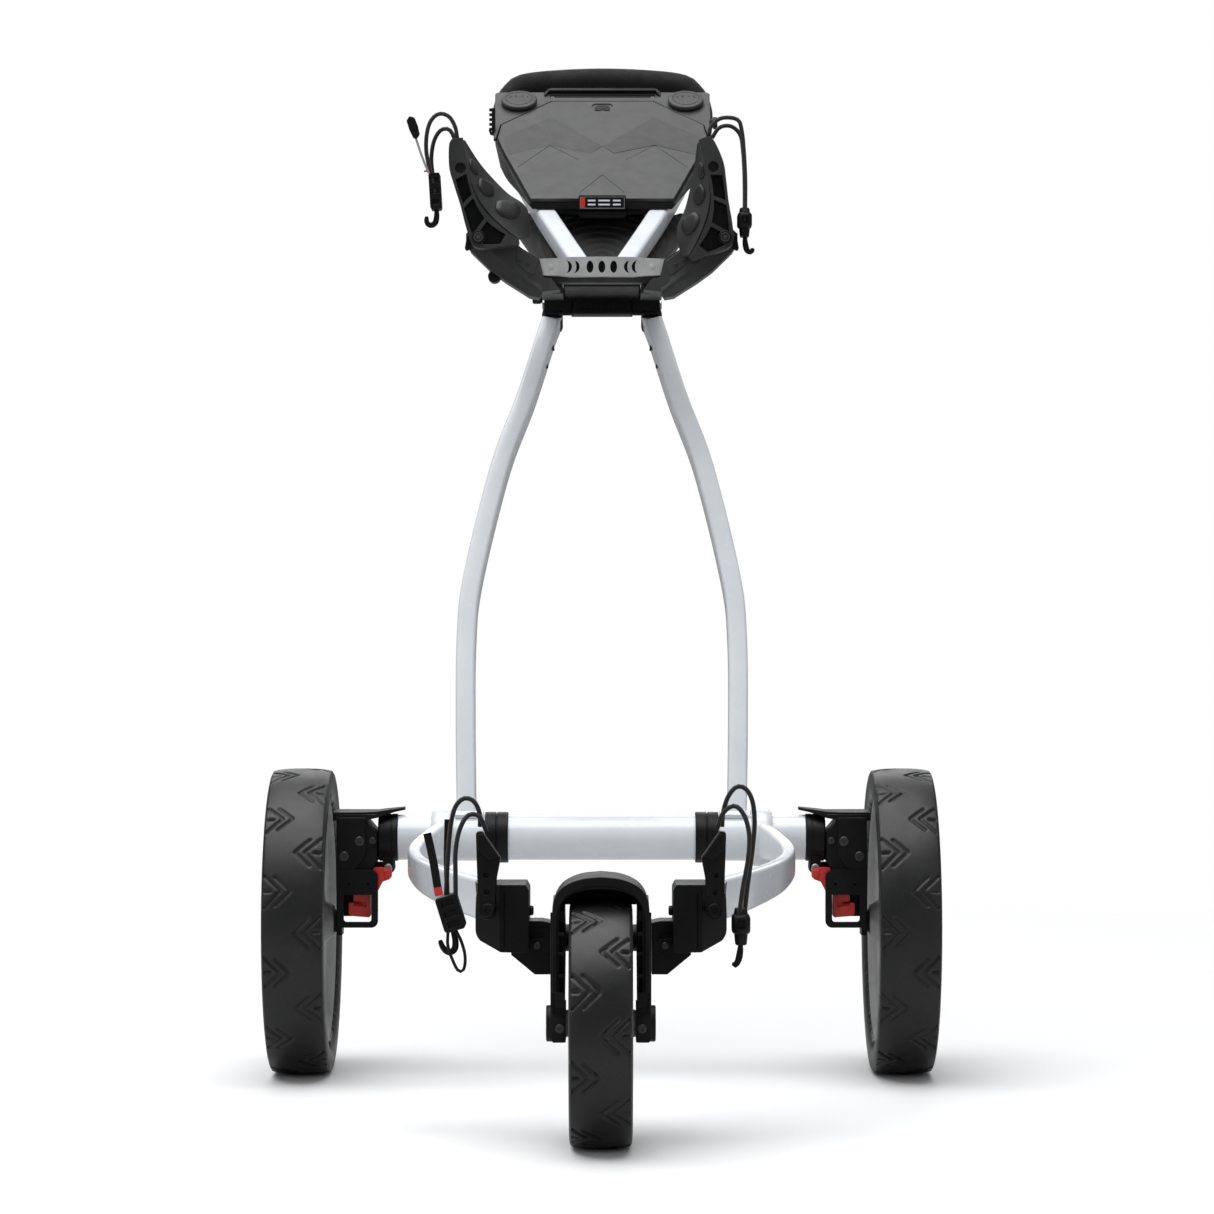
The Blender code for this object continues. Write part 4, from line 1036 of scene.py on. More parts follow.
def fork():
    outer = [
        (-0.0392, 0.13, 0.0), (-0.0394, 0.17, 0.0), (-0.0392, 0.195, 0.0), (-0.0372, 0.2065, 0.0),
        (-0.03, 0.2158, 0.0), (-0.0165, 0.2218, 0.0), (0.0, 0.2238, 0.0)
    ]
    inner = [
        (-0.0338, 0.13, 0.0), (-0.0338, 0.17, 0.0), (-0.0336, 0.193, 0.0), (-0.0318, 0.202, 0.0),
        (-0.0255, 0.2088, 0.0), (-0.014, 0.213, 0.0), (0.0, 0.2142, 0.0)
    ]

    def whole(half):
        half = [(p.x, p.y) for p in smooth_path(half, 0.0022)]
        return half + mirrored(half[:-1])[::-1]

    arch = whole(outer) + whole(inner)[::-1]
    lip = whole([(x * 1.012, z + (z > 0.19) * 0.0006, 0.0) for x, z, _ in outer])
    inset = whole([(x * 0.9, z - 0.0068 * smoothstep(z, 0.18, 0.21), 0.0) for x, z, _ in outer])
    leg = [
        (-0.5545, 0.093), *arc((-0.54, 0.101), 0.015, 212, 300, 6), (-0.445, 0.148),
        *arc((-0.43, 0.1635), 0.012, 320, 430, 7), (-0.445, 0.179), (-0.478, 0.199), (-0.49, 0.204),
        (-0.565, 0.196), (-0.569, 0.14), (-0.5575, 0.11)
    ]
    pocket = [
        (-0.55, 0.124), (-0.529, 0.118), (-0.466, 0.156), (-0.47, 0.18), (-0.538, 0.186),
        (-0.556, 0.182)
    ]
    bores = [
        shape_cylinder(FORK_PIVOT, (1, 0, 0), -0.07, 0.07, 0.0053, 24),
        shape_cylinder(FRONT_WHEEL, (1, 0, 0), -0.07, 0.07, 0.0053, 24)
    ]
    barrel = shape_cylinder(FORK_PIVOT, (1, 0, 0), -0.0345, 0.0345, 0.0115, 32)
    piece(
        "fork_hood", shape_prism(arch, "Y", -0.57, -0.485), "front_fork",
        replaces="front_fork", cuts=bores[1:], bevel=0.0006
    )
    piece(
        "fork_hood_lip", shape_prism(lip + inset[::-1], "Y", -0.5722, -0.566), "front_fork",
        bevel=0.0009, bevel_steps=3
    )
    middle_line = [(x * 0.94, z - 0.003 * (z > 0.19), 0.0) for x, z, _ in outer]
    shade = whole(middle_line)
    piece(
        "fork_hood_back", shape_prism(shade + [(0.0364, 0.196), (-0.0364, 0.196)], "Y", -0.49, -0.4855),
        "front_fork"
    )
    piece("fork_barrel", barrel, "front_fork", cuts=[bores[0]], bevel=0.0006)
    for side_name, sign in SIDES:
        piece(
            "fork_leg_" + side_name, shape_prism(leg, "X", sign * 0.0298, sign * 0.0396), "front_fork",
            cuts=[
                shape_prism(pocket, "X", sign * 0.0386, sign * 0.045),
                shape_block(
                    (min(sign * 0.029, sign * 0.0345), -0.572, 0.13),
                    (max(sign * 0.029, sign * 0.0345), -0.556, 0.188)
                ), *bores
            ], bevel=0.0006
        )
        piece(
            "fork_boss_" + side_name,
            shape_cylinder(FRONT_WHEEL, (sign, 0, 0), 0.0304, 0.045, 0.015, 32, 0.0012), "front_fork",
            cuts=[bores[1]], limit=35
        )
        for rung, z in enumerate((0.142, 0.16, 0.176)):
            low, high = sorted((sign * 0.0298, sign * 0.0345))
            piece(
                f"fork_rung_{rung + 1}_{side_name}",
                shape_block((low, -0.57, z), (high, -0.56, z + 0.003)), "front_fork",
                bevel=0.0005
            )
        housing = [
            (0.0287, 0.0885), (0.0395, 0.0885), (0.0408, 0.092), (0.0408, 0.115), (0.0385, 0.1195),
            (0.0287, 0.1195)
        ]
        piece(
            "fork_foot_" + side_name, shape_panel(housing, sign, -0.56, -0.521), "front_fork",
            unions=[shape_cylinder((0.0, -0.548, 0.109), (sign, 0, 0), 0.029, 0.04, 0.0125, 32, 0.0008)],
            bevel=0.001, bevel_steps=3
        )
        screw(
            "fork_foot_screw_" + side_name, (sign * 0.0335, -0.56, 0.0997), (0, -1, 0), 0.0038,
            "front_fork",
            paint=BLACK_STEEL
        )
        flange = [
            (-0.556, 0.093), (-0.533, 0.09), (-0.49, 0.13), (-0.498, 0.19), (-0.564, 0.195),
            (-0.568, 0.14)
        ]
        piece(
            "fork_leg_flange_" + side_name, shape_prism(flange, "X", sign * 0.0384, sign * 0.0412),
            "front_fork",
            cuts=[
                shape_prism(
                    [(-0.548, 0.13), (-0.525, 0.122), (-0.508, 0.178), (-0.55, 0.182)], "X",
                    sign * 0.0398, sign * 0.045
                )
            ], bevel=0.0009
        )
        screw(
            "fork_side_bolt_" + side_name, (sign * 0.04, -0.47, 0.168), (sign, 0, 0), 0.0036,
            "front_fork",
            paint=BLACK_STEEL
        )


fork()


# Lower bag bracket: two shouldered boxes joined by the crossbar that holds the fork
def lower_bracket(side_name, sign):
    body = "lower_frame"
    node = "lower_bag_bracket_" + side_name
    outline = [
        (0.0605, 0.156), (0.0605, 0.2062), (0.0632, 0.211), (0.088, 0.211), (0.0945, 0.2062),
        (0.102, 0.205), *arc((0.099, 0.199), 0.0065, 50, 0, 3), (0.106, 0.186),
        *arc((0.094, 0.172), 0.012, 0, -50, 4), (0.084, 0.1545), (0.064, 0.154)
    ][::-1]
    corner = [(0.083, -0.474), (0.108, -0.474), (0.108, -0.448)]
    corner = sided(corner, sign)
    cheek = [(-0.446, 0.152), (-0.41, 0.152), (-0.41, 0.175), (-0.446, 0.175)]
    gusset = [(0.0428, 0.1335), (0.056, 0.1335), (0.076, 0.15), (0.076, 0.158), (0.0428, 0.158)]
    recess = [(0.048, 0.164), (0.05, 0.17), (0.059, 0.17), (0.06, 0.164)]
    seam = [(0.0806, 0.1575), (0.0806, 0.2045), (0.0814, 0.2045), (0.0814, 0.1575)]
    pin = (sign * 0.0945, -0.472, 0.191)
    piece(
        "bag_box_" + side_name, shape_panel(outline, sign, -0.472, -0.4003), body,
        replaces=node,
        unions=[
            shape_prism(cheek, "X", sign * 0.0428, sign * 0.065),
            shape_panel(gusset, sign, -0.444, -0.412)
        ],
        cuts=[
            shape_prism(corner, "Z", 0.14, 0.23),
            shape_cylinder(FORK_PIVOT, (sign, 0, 0), 0.04, 0.0602, 0.0053, 24),
            shape_panel(recess, sign, -0.447, -0.443), shape_panel(seam, sign, -0.473, -0.4708)
        ], bevel=0.0014, bevel_steps=3
    )
    piece(
        "bag_box_pin_" + side_name, shape_cylinder(pin, (0, -1, 0), -0.025, 0.0165, 0.0035, 24, 0.0006),
        body, "steel"
    )
    piece(
        "bag_box_knob_" + side_name,
        shape_cylinder((0.0, -0.456, 0.1885), (sign, 0, 0), 0.0567, 0.0612, 0.0042, 24, 0.0016), body
    )
    flange = [(0.041, 0.1745), (0.041, 0.1772), (0.05, 0.179), (0.0612, 0.179), (0.0612, 0.1745)]
    piece("crossbar_flange_" + side_name, shape_panel(flange, sign, -0.447, -0.409), body, bevel=0.0006)
    screw(
        "crossbar_bolt_" + side_name, (sign * 0.054, -0.447, 0.158), (0, -1, 0), 0.003, body,
        paint=BLACK_STEEL
    )


def lower_arm(side_name, sign):
    """Swinging ear that steadies the bag: slanted head, rounded foot, two cord holes."""
    body = "lower_bag_arm_" + side_name
    outline = [
        *arc((0.0945, 0.19), 0.0072, 200, 340, 6), (0.103, 0.21), (0.104, 0.24),
        *arc((0.1022, 0.2542), 0.0022, 0, 90, 3), (0.0992, 0.2566), (0.084, 0.235), (0.085, 0.228),
        (0.087, 0.218), (0.0878, 0.2)
    ]
    head = [(0.0985, 0.2555), (0.0845, 0.235), (0.0935, 0.2325), (0.103, 0.242), (0.1035, 0.254)]
    foot = [*arc((0.0945, 0.19), 0.005, 180, 360, 6), (0.0998, 0.226), (0.0905, 0.226)]
    piece(
        "bag_ear_" + side_name, shape_panel(outline, sign, -0.4885, -0.4723), body,
        replaces=body,
        cuts=[
            shape_cylinder((sign * 0.0945, 0, 0.191), (0, 1, 0), -0.5, -0.45, 0.0038, 24),
            shape_cylinder((sign * 0.096, 0, 0.22), (0, 1, 0), -0.5, -0.485, 0.0021, 20),
            shape_cylinder((sign * 0.0952, 0, 0.206), (0, 1, 0), -0.5, -0.485, 0.0021, 20)
        ], bevel=0.0012, bevel_steps=3
    )
    piece(
        "bag_ear_head_" + side_name, shape_panel(head, sign, -0.4912, -0.488), body,
        bevel=0.0014, bevel_steps=3
    )
    screw(
        "bag_ear_boss_" + side_name, (sign * 0.0945, -0.4885, 0.191), (0, -1, 0), 0.0058, body,
        height=0.002
    )


for side_name, sign in SIDES:
    lower_bracket(side_name, sign)
    lower_arm(side_name, sign)


# White tubes and arms
def resampled(knots, count):
    knots = [Vector(k) for k in knots]
    rough = smooth_path(knots, 0.002)
    return smooth_path(knots, path_length(rough) / count)[: count + 1]


MAIN_TUBE = [
    (0.129, 0.008, 0.244), (0.131, 0.038, 0.33), (0.1312, 0.069, 0.412), (0.1256, 0.0896, 0.4703),
    (0.1002, 0.129, 0.579), (0.0751, 0.155, 0.649), (0.0565, 0.1767, 0.709), (0.0503, 0.1838, 0.727),
    (0.049, 0.1868, 0.7318)
]
ARM_STATIONS = [
    (0.1535, -0.021, 0.205, 0.24), (0.1665, -0.06, 0.203, 0.231), (0.1725, -0.11, 0.2, 0.225),
    (0.169, -0.18, 0.194, 0.2215), (0.1545, -0.26, 0.187, 0.219), (0.1275, -0.34, 0.18, 0.2155),
    (0.099, -0.3995, 0.1745, 0.212)
]


def main_tube(side_name, sign):
    path = smooth_path([(sign * x, y, z) for x, y, z in MAIN_TUBE], 0.008)
    section = rounded_section(0.0185, 0.03, 0.0034, 5)
    foot = arc((0.0, AXLE_Z), 0.026, -62, 122, 24) + arc((0.0, AXLE_Z), 0.0218, 122, -62, 24)
    piece(
        "frame_tube_" + side_name, shape_sweep(path, section, (1, 0, 0), flat_ends=((-1, (0, 0, 1)),)),
        "main_frame", "white_paint", "main_tube_" + side_name,
        unions=[shape_prism(foot, "X", sign * 0.1125, sign * 0.1395)],
        cuts=[shape_cylinder((0, 0, AXLE_Z), (sign, 0, 0), 0.1, 0.15, 0.0218, 64)], bevel=0.0008,
        limit=40
    )
    run = (path[-1] - path[-2]).normalized()
    top = [path[-1] + run * step for step in (-0.0042, -0.0038, -0.001, 0.0008)]
    collar = [rounded_section(0.0203, 0.0325 + g, 0.0055, 5) for g in (0.0, 0.001, 0.0025, 0.003)]
    piece("joint_socket_" + side_name, shape_sweep(top, collar, (1, 0, 0)), "main_frame", bevel=0.0008)
    for index, (x, y, z) in enumerate(((0.0498, 0.1735, 0.702), (0.056, 0.1665, 0.684))):
        screw(
            f"tube_bolt_{index + 1}_{side_name}", (sign * x, y, z), (-sign, 0, 0.25), 0.0034,
            "main_frame",
            height=0.0022
        )


def frame_arm(side_name, sign):
    path = smooth_path([(x, y, (b + t) / 2) for x, y, b, t in ARM_STATIONS], 0.008)
    stations = [-y for x, y, b, t in ARM_STATIONS]
    heights = [t - b for x, y, b, t in ARM_STATIONS]
    sections = []
    for point in path:
        height = float(np.interp(-point.y, stations, heights)) - 0.0022
        sections.append(rounded_section(0.012, height, 0.0032, 5))
    points, faces = shape_sweep(path, sections, (1, 0, 0), flat_ends=((-1, (0, 1, 0)),))
    points = [(sign * x, y, z) for x, y, z in points]
    shell = shape_lathe(
        [
            (0.142, 0.01), (0.142, 0.0255), (0.1428, 0.0266), (0.1445, 0.0275), (0.156, 0.0275),
            (0.1585, 0.0268), (0.162, 0.024), (0.162, 0.01)
        ], (0.0, 0.0, AXLE_Z), (sign, 0, 0), 64
    )
    piece(
        "frame_arm_" + side_name, (points, faces), "lower_frame", "white_paint",
        "lower_frame_arm_" + side_name,
        bevel=0.001, limit=40
    )
    piece(
        "arm_collar_" + side_name, shell, "lower_frame", "white_paint",
        cuts=[shape_cylinder((0, 0, AXLE_Z), (sign, 0, 0), 0.13, 0.19, 0.0219, 64)], bevel=0.0004,
        limit=40
    )


for side_name, sign in SIDES:
    main_tube(side_name, sign)
    frame_arm(side_name, sign)

piece(
    "rear_axle_tube",
    shape_lathe(
        [(-0.1937, 0.0215), (0.1937, 0.0215), (0.1937, 0.019), (-0.1937, 0.019)], (0.0, 0.0, AXLE_Z),
        (1, 0, 0), 72,
        closed=True
    ), "lower_frame", "white_paint", "axle_tube",
    bevel=0.0004
)

# Upper joint
JOINT = (0.0, 0.19, 0.746)


def upper_joint():
    for side_name, sign in SIDES:
        outline = [
            (0.1685, 0.7358), (0.1705, 0.7343), (0.202, 0.7362), (0.204, 0.742),
            *arc((0.1925, 0.7475), 0.0112, 0, 80, 5), (0.1705, 0.758), (0.1685, 0.7565)
        ]
        piece(
            "joint_lug_" + side_name, shape_prism(outline, "X", sign * 0.0298, sign * 0.0576),
            "main_frame",
            replaces="upper_joint_" + side_name,
            cuts=[
                shape_cylinder(JOINT, (sign, 0, 0), 0.02, 0.07, 0.0053, 32),
                shape_block(
                    (min(sign * 0.039, sign * 0.051), 0.167, 0.7375),
                    (max(sign * 0.039, sign * 0.051), 0.1697, 0.7405)
                )
            ], bevel=0.001, bevel_steps=3
        )
        screw(
            "joint_pin_cap_" + side_name, (sign * 0.0585, 0.19, 0.746), (sign, 0, 0), 0.0046,
            "main_frame",
            slot="steel"
        )
    cover = [
        (0.165, 0.736), (0.167, 0.7345), (0.1775, 0.7345), *arc(JOINT[1:], 0.0128, 225, 135, 6),
        (0.1775, 0.7572), (0.1765, 0.764), (0.165, 0.764)
    ]
    piece(
        "joint_cover", shape_prism(cover, "X", -0.0286, 0.0286), "main_frame",
        cuts=[shape_block((-0.022, 0.16, 0.74), (0.022, 0.1658, 0.751))], bevel=0.0009, bevel_steps=3
    )
    bars = [
        shape_block((x - 0.0016, 0.1652, 0.742), (x + 0.0016, 0.1662, 0.749)) for x in np.linspace(
            -0.0165, 0.0165, 7
        )
    ]
    piece("joint_cover_ribs", joined(*bars), "main_frame", bevel=0.0003)
    knob = [
        (0.0593, 0.0), (0.0593, 0.005), (0.061, 0.005), (0.0615, 0.0058), (0.068, 0.0058),
        (0.0693, 0.0046), (0.0693, 0.003), (0.0682, 0.0026), (0.068, 0.0)
    ]
    piece(
        "joint_knob_cap", shape_lathe(knob, (0.0, 0.18, 0.752), (-1, 0, 0), 32), "joint_release_knob",
        replaces="joint_release_knob", limit=35
    )


upper_joint()


# Bag bracket: faceted wings, rails to the joint, a saddle and the grey rest bar
def bag_bracket():
    left = [
        (-0.0487, 0.761), (-0.0402, 0.75), (-0.0575, 0.748), (-0.061, 0.7425), (-0.07, 0.744),
        (-0.093, 0.7585), (-0.1075, 0.769), (-0.127, 0.788), (-0.131, 0.796), (-0.131, 0.804),
        (-0.124, 0.8105), (-0.106, 0.8105), (-0.09, 0.801), (-0.077, 0.79), (-0.0665, 0.7835),
        (-0.06, 0.779), (-0.056, 0.762)
    ]
    rails, pins = [], []
    for side_name, sign in SIDES:
        low, high = sorted((sign * 0.038, sign * 0.059))
        rails.append(shape_block((low, 0.08, 0.749), (high, 0.169, 0.7578)))
        pins.append(
            shape_cylinder((sign * 0.118, 0.045, 0.7976), (0, -1, 0), -0.004, 0.037, 0.0045, 24)
        )
    piece(
        "bag_bracket_body", shape_block((-0.07, 0.0605, 0.758), (0.07, 0.0845, 0.7805)), "main_frame",
        replaces="upper_bag_bracket", paint=BRACKET_LIT_GREY,
        unions=[
            shape_prism(left, "Y", 0.045, 0.085), shape_prism(mirrored(left), "Y", 0.045, 0.085),
            *rails, *pins
        ], bevel=0.0028, bevel_steps=1, limit=28
    )
    for side_name, sign in SIDES:
        plate = [
            (0.0822, 0.7893), (0.0788, 0.7898), (0.0655, 0.7806), (0.0612, 0.7775), (0.0632, 0.7715),
            (0.064, 0.765), (0.069, 0.765), (0.0755, 0.77), (0.0822, 0.7765)
        ]
        piece(
            "bracket_end_plate_" + side_name, shape_panel(plate, sign, 0.0437, 0.0462), "main_frame",
            paint=BRACKET_LIT_GREY, bevel=0.0008
        )
        for index, (x, z) in enumerate(((0.0793, 0.7775), (0.0715, 0.7737))):
            screw(
                f"bracket_screw_{index + 1}_{side_name}", (sign * x, 0.0437, z), (0, -1, 0), 0.0021,
                "main_frame",
                height=0.0005, paint=BLACK_STEEL
            )
        edge = [
            (0.0575, 0.748), (0.066, 0.755), (0.076, 0.7625), (0.09, 0.7735), (0.108, 0.788),
            (0.119, 0.8)
        ]
        under = [
            (0.061, 0.7425), (0.068, 0.7436), (0.0715, 0.7452), (0.093, 0.759), (0.1075, 0.7695),
            (0.1265, 0.7885)
        ]
        over = [
            (0.056, 0.7605), (0.064, 0.762), (0.069, 0.78), (0.09, 0.8), (0.106, 0.8095),
            (0.119, 0.8095)
        ]
        # Upper wing faces take the lighter bracket grey and lower faces the darker arm grey: painted
        # light and painted shade.
        for label, other, lean in (("lower", under, 0.0475), ("upper", over, 0.047)):
            piece(
                f"bracket_{label}_face_{side_name}",
                shape_strip(sided(edge, sign), sided(other, sign), 0.0438, lean, 0.049), "main_frame",
                paint=BRACKET_LIT_GREY if label == "upper" else ARM_GREY_AND_FACE_SHADE, limit=60
            )
        ledge = [(0.1265, 0.799), (0.1265, 0.812), (0.103, 0.812), (0.089, 0.802), (0.093, 0.799)]
        piece(
            "bracket_ledge_" + side_name, shape_panel(ledge, sign, 0.047, 0.083), "main_frame",
            paint=BRACKET_LIT_GREY, bevel=0.0014
        )
        bolt = (sign * 0.118, 0.012, 0.7976)
        collar = [(0.0, 0.0), (0.0, 0.0066), (0.0018, 0.0066), (0.0026, 0.0058), (0.0026, 0.0)]
        piece(
            "arm_bolt_washer_" + side_name, shape_lathe(collar, bolt, (0, -1, 0), 32), "main_frame",
            limit=35
        )
        screw(
            "arm_bolt_" + side_name, (bolt[0], bolt[1] - 0.0026, bolt[2]), (0, -1, 0), 0.004,
            "main_frame",
            height=0.0014, paint=BLACK_STEEL
        )
        tab = [(0.1262, 0.789), (0.131, 0.7875), (0.1322, 0.79), (0.1302, 0.801), (0.127, 0.803)]
        piece("arm_stop_" + side_name, shape_panel(tab, sign, 0.0428, 0.05), "main_frame", bevel=0.0008)
    saddle = [(0.084, 0.756), (0.1645, 0.75), (0.1645, 0.76), (0.12, 0.764), (0.084, 0.768)]
    piece(
        "bracket_saddle", shape_prism(saddle, "X", -0.0378, 0.0378), "main_frame",
        bevel=0.002, bevel_steps=2
    )
    piece(
        "bracket_knob",
        shape_cylinder((-0.104, 0.0, 0.764), (0, 1, 0), 0.056, 0.076, 0.0062, 28, 0.0014), "main_frame",
        limit=35
    )


def shape_strip(first, second, first_front, second_front, back):
    """Sloping plate between two edges given in X and Z, each with its own depth in front."""
    points, faces = [], []
    for (ax, az), (bx, bz) in zip(first, second):
        points += [(ax, first_front, az), (bx, second_front, bz), (bx, back, bz), (ax, back, az)]
    return points, tube_faces(len(first), 4)


def crescent(centre, height, bulge, thick, count=10):
    """Moon shape bulging towards +X, or -X for a negative bulge."""
    outer, inner = [], []
    for k in range(count + 1):
        turn = math.pi * (k / count - 0.5)
        z = centre[1] + height * math.sin(turn)
        outer.append((centre[0] + bulge * math.cos(turn), z))
        inner.append((centre[0] + (bulge - math.copysign(thick, bulge)) * math.cos(turn), z))
    return outer + inner[-2:0:-1]


def rest_bar():
    half = [
        (0.0, 0.7632), (0.03, 0.7628), (0.042, 0.7638), (0.0656, 0.764), (0.064, 0.7665),
        *arc((0.0672, 0.7722), 0.0055, 225, 135, 6), (0.0606, 0.78), (0.042, 0.7808), (0.03, 0.7818),
        (0.0, 0.7822)
    ]
    outline = half + mirrored(half[1:-1])[::-1]
    cuts = []
    for index in (-1, 0, 1):
        oval = [
            (0.0114 * index + 0.0033 * math.cos(t), 0.7724 + 0.0059 * math.sin(t)) for t in np.linspace(
                0, 2 * math.pi, 25
            )[:-1]
        ]
        cuts.append(shape_prism(oval, "Y", 0.04, 0.052))
    for sign in (-1, 1):
        for x in (0.0272, 0.0346):
            moon = crescent((sign * x, 0.7724), 0.0061, -sign * 0.0058, 0.0032)
            cuts.append(shape_prism(moon, "Y", 0.04, 0.052))
    piece(
        "rest_bar_pad", shape_prism(outline, "Y", 0.047, 0.059), "main_frame", "bar_grey",
        "bag_rest_bar",
        cuts=cuts, bevel=0.0009, bevel_steps=3, limit=40
    )
    lining = shape_block((-0.038, 0.0515, 0.7655), (0.038, 0.058, 0.7795))
    piece("rest_bar_lining", lining, "main_frame", bevel=0.0004)
    for side_name, sign in SIDES:
        piece(
            "rest_bar_dimple_" + side_name,
            shape_cylinder((sign * 0.0488, 0.0, 0.7724), (0, 1, 0), 0.0464, 0.048, 0.0026, 24, 0.0005),
            "main_frame", "bar_grey",
            limit=35
        )


bag_bracket()
rest_bar()

# Upper bag arms, as a left-hand outline mirrored for the right
ARM_BAND_OUTER = [
    (0.14, 0.893), (0.1458, 0.888), (0.146, 0.865), (0.1415, 0.848), (0.1355, 0.829), (0.1295, 0.806),
    (0.1235, 0.7905), (0.113, 0.787), (0.095, 0.7895), (0.08, 0.7905)
]
ARM_BAND_INNER = [
    (0.133, 0.893), (0.1305, 0.88), (0.1275, 0.864), (0.1245, 0.848), (0.119, 0.834), (0.111, 0.822),
    (0.101, 0.812), (0.092, 0.804), (0.085, 0.799), (0.079, 0.795)
]
WING_FRONT = [
    (0.1345, 0.014, 0.892), (0.1296, 0.014, 0.874), (0.1255, 0.014, 0.854), (0.119, 0.014, 0.837),
    (0.107, 0.014, 0.82), (0.092, 0.014, 0.806), (0.079, 0.015, 0.7965)
]
WING_REAR = [
    (0.131, 0.026, 0.8925), (0.1188, 0.038, 0.8739), (0.1068, 0.0408, 0.8596), (0.0901, 0.0412, 0.8428),
    (0.075, 0.0412, 0.8325), (0.069, 0.0412, 0.82), (0.069, 0.0412, 0.801)
]
ARM_PIVOT = Vector((0.118, 0.0, 0.7976))
ARM_SAMPLES = 36


def bag_arm(side_name, sign, lean, narrow):
    """Curved arm: a band with open cells in front, and a wing behind it with soft pads."""

    def put(point):
        moved = Matrix.Rotation(-lean, 3, "Y") @ (Vector(point) - ARM_PIVOT) + ARM_PIVOT
        return (sign * moved.x, moved.y, moved.z)

    def flat(points):
        return [put((x, 0.0, z))[::2] for x, z in points]

    def line(knots):
        return [(p.x, p.y) for p in resampled([(x, z, 0.0) for x, z in knots], ARM_SAMPLES)]

    outer, inner = line(ARM_BAND_OUTER), line(ARM_BAND_INNER)

    def across(place, share):
        k = min(int(place * ARM_SAMPLES), ARM_SAMPLES - 1)
        t = place * ARM_SAMPLES - k
        a = Vector(outer[k]).lerp(Vector(outer[k + 1]), t)
        b = Vector(inner[k]).lerp(Vector(inner[k + 1]), t)
        return tuple(a.lerp(b, share))

    cells = []
    for start, end in ((0.29, 0.455), (0.485, 0.665), (0.695, 0.88)):
        places = np.linspace(start, end, 9)
        edge = 0.17
        loop = [across(p, edge) for p in places] + [across(p, 1 - edge) for p in places[::-1]]
        cells.append(shape_prism(flat(loop), "Y", 0.005, 0.036))
    eye = put((0.1352, 0.0, 0.864))
    body = "upper_bag_arm_" + side_name
    bolt = (sign * 0.118, 0.0, 0.7976)
    piece(
        "bag_arm_band_" + side_name, shape_prism(flat(outer + inner[::-1]), "Y", 0.0128, 0.042), body,
        replaces=body, paint=ARM_GREY_AND_FACE_SHADE,
        cuts=cells + [
            shape_cylinder(eye, (0, 1, 0), -0.01, 0.02, 0.0052, 32),
            shape_cylinder(bolt, (0, 1, 0), -0.01, 0.06, 0.0048, 24)
        ], bevel=0.0007, limit=30
    )
    front = [Vector(p) for p in resampled(WING_FRONT, ARM_SAMPLES)]
    rear = [Vector(p) for p in resampled(WING_REAR, ARM_SAMPLES)]
    widths = [1 - (1 - narrow) * k / ARM_SAMPLES for k in range(ARM_SAMPLES + 1)]
    rear = [f.lerp(r, width) for f, r, width in zip(front, rear, widths)]

    def surface(t, u):
        """A place on the wing's inner face and the direction out of it."""
        t = min(max(t, 0.0), 1.0) * ARM_SAMPLES
        k = min(int(t), ARM_SAMPLES - 1)
        a = front[k].lerp(front[k + 1], t - k)
        b = rear[k].lerp(rear[k + 1], t - k)
        run = (front[k + 1] - front[k]) + (rear[k + 1] - rear[k])
        normal = (b - a).cross(run).normalized()
        if normal.x > 0:
            normal = -normal
        hollow = -0.0016 * math.sin(math.pi * u)
        return a.lerp(b, u) + normal * hollow, normal

    columns = 8
    rings = []
    for k in range(ARM_SAMPLES + 1):
        t = k / ARM_SAMPLES
        top, under = [], []
        for c in range(columns + 1):
            place, normal = surface(t, c / columns)
            top.append(put(place))
            under.append(put(place - normal * 0.0036))
        rings.append(top + under[::-1])
    points = [p for ring in rings for p in ring]
    piece(
        "bag_arm_wing_" + side_name, (points, tube_faces(len(rings), len(rings[0]))), body,
        paint=ARM_GREY_AND_FACE_SHADE, bevel=0.001, bevel_steps=3, limit=40
    )
    for index, (t, u, reach_t, reach_u, lift) in enumerate(
        (
            (0.25, 0.46, 0.075, 0.25, 0.0026), (0.45, 0.5, 0.09, 0.27, 0.003),
            (0.7, 0.55, 0.105, 0.33, 0.0034)
        )
    ):
        points, faces, spokes, layers = [], [], 40, 9
        for layer in range(layers + 1):
            share = math.sin(layer / layers * math.pi / 2)
            for k in range(spokes):
                turn = 2 * math.pi * k / spokes
                leaf = 1 - 0.22 * math.cos(turn) ** 2
                place, normal = surface(
                    t + reach_t * share * math.cos(turn), u + reach_u * share * leaf * math.sin(turn)
                )
                rise = lift * math.cos(share**3 * math.pi / 2) ** 0.6 if layer < layers else -0.0004
                points.append(put(place + normal * rise))
        for layer in range(layers):
            for k in range(spokes):
                other = (k + 1) % spokes
                a, b = layer * spokes, (layer + 1) * spokes
                faces.append((a + k, a + other, b + other, b + k))
        piece(f"bag_arm_pad_{index + 1}_{side_name}", (points, faces), body, paint=SOFT_BLACK, limit=50)


SOFT_BLACK = rubber("pad_rubber", grey(0.01), grey(0.02))
bag_arm("left", -1, 0.0, 1.0)
bag_arm("right", 1, math.radians(24.0), 0.66)


# Handle tubes and grip
TUBE_START = Vector((0.0265, 0.22, 0.776))
TUBE_END = Vector((0.1012, 0.58, 0.9426))
NECK = [(0.184, 0.754), (0.201, 0.749), (0.219, 0.763), (0.213, 0.788), (0.198, 0.782)]
GRIP = [
    (0.1, 0.5872, 0.946), (0.1035, 0.602, 0.956), (0.1065, 0.611, 0.972), (0.1065, 0.6125, 0.991),
    (0.098, 0.6125, 1.009), (0.078, 0.6125, 1.019), (0.0, 0.6125, 1.0235)
]


# Direction out of the underside of the handle tubes: back and down
UNDER_Y = 0.42
UNDER_Z = 0.907


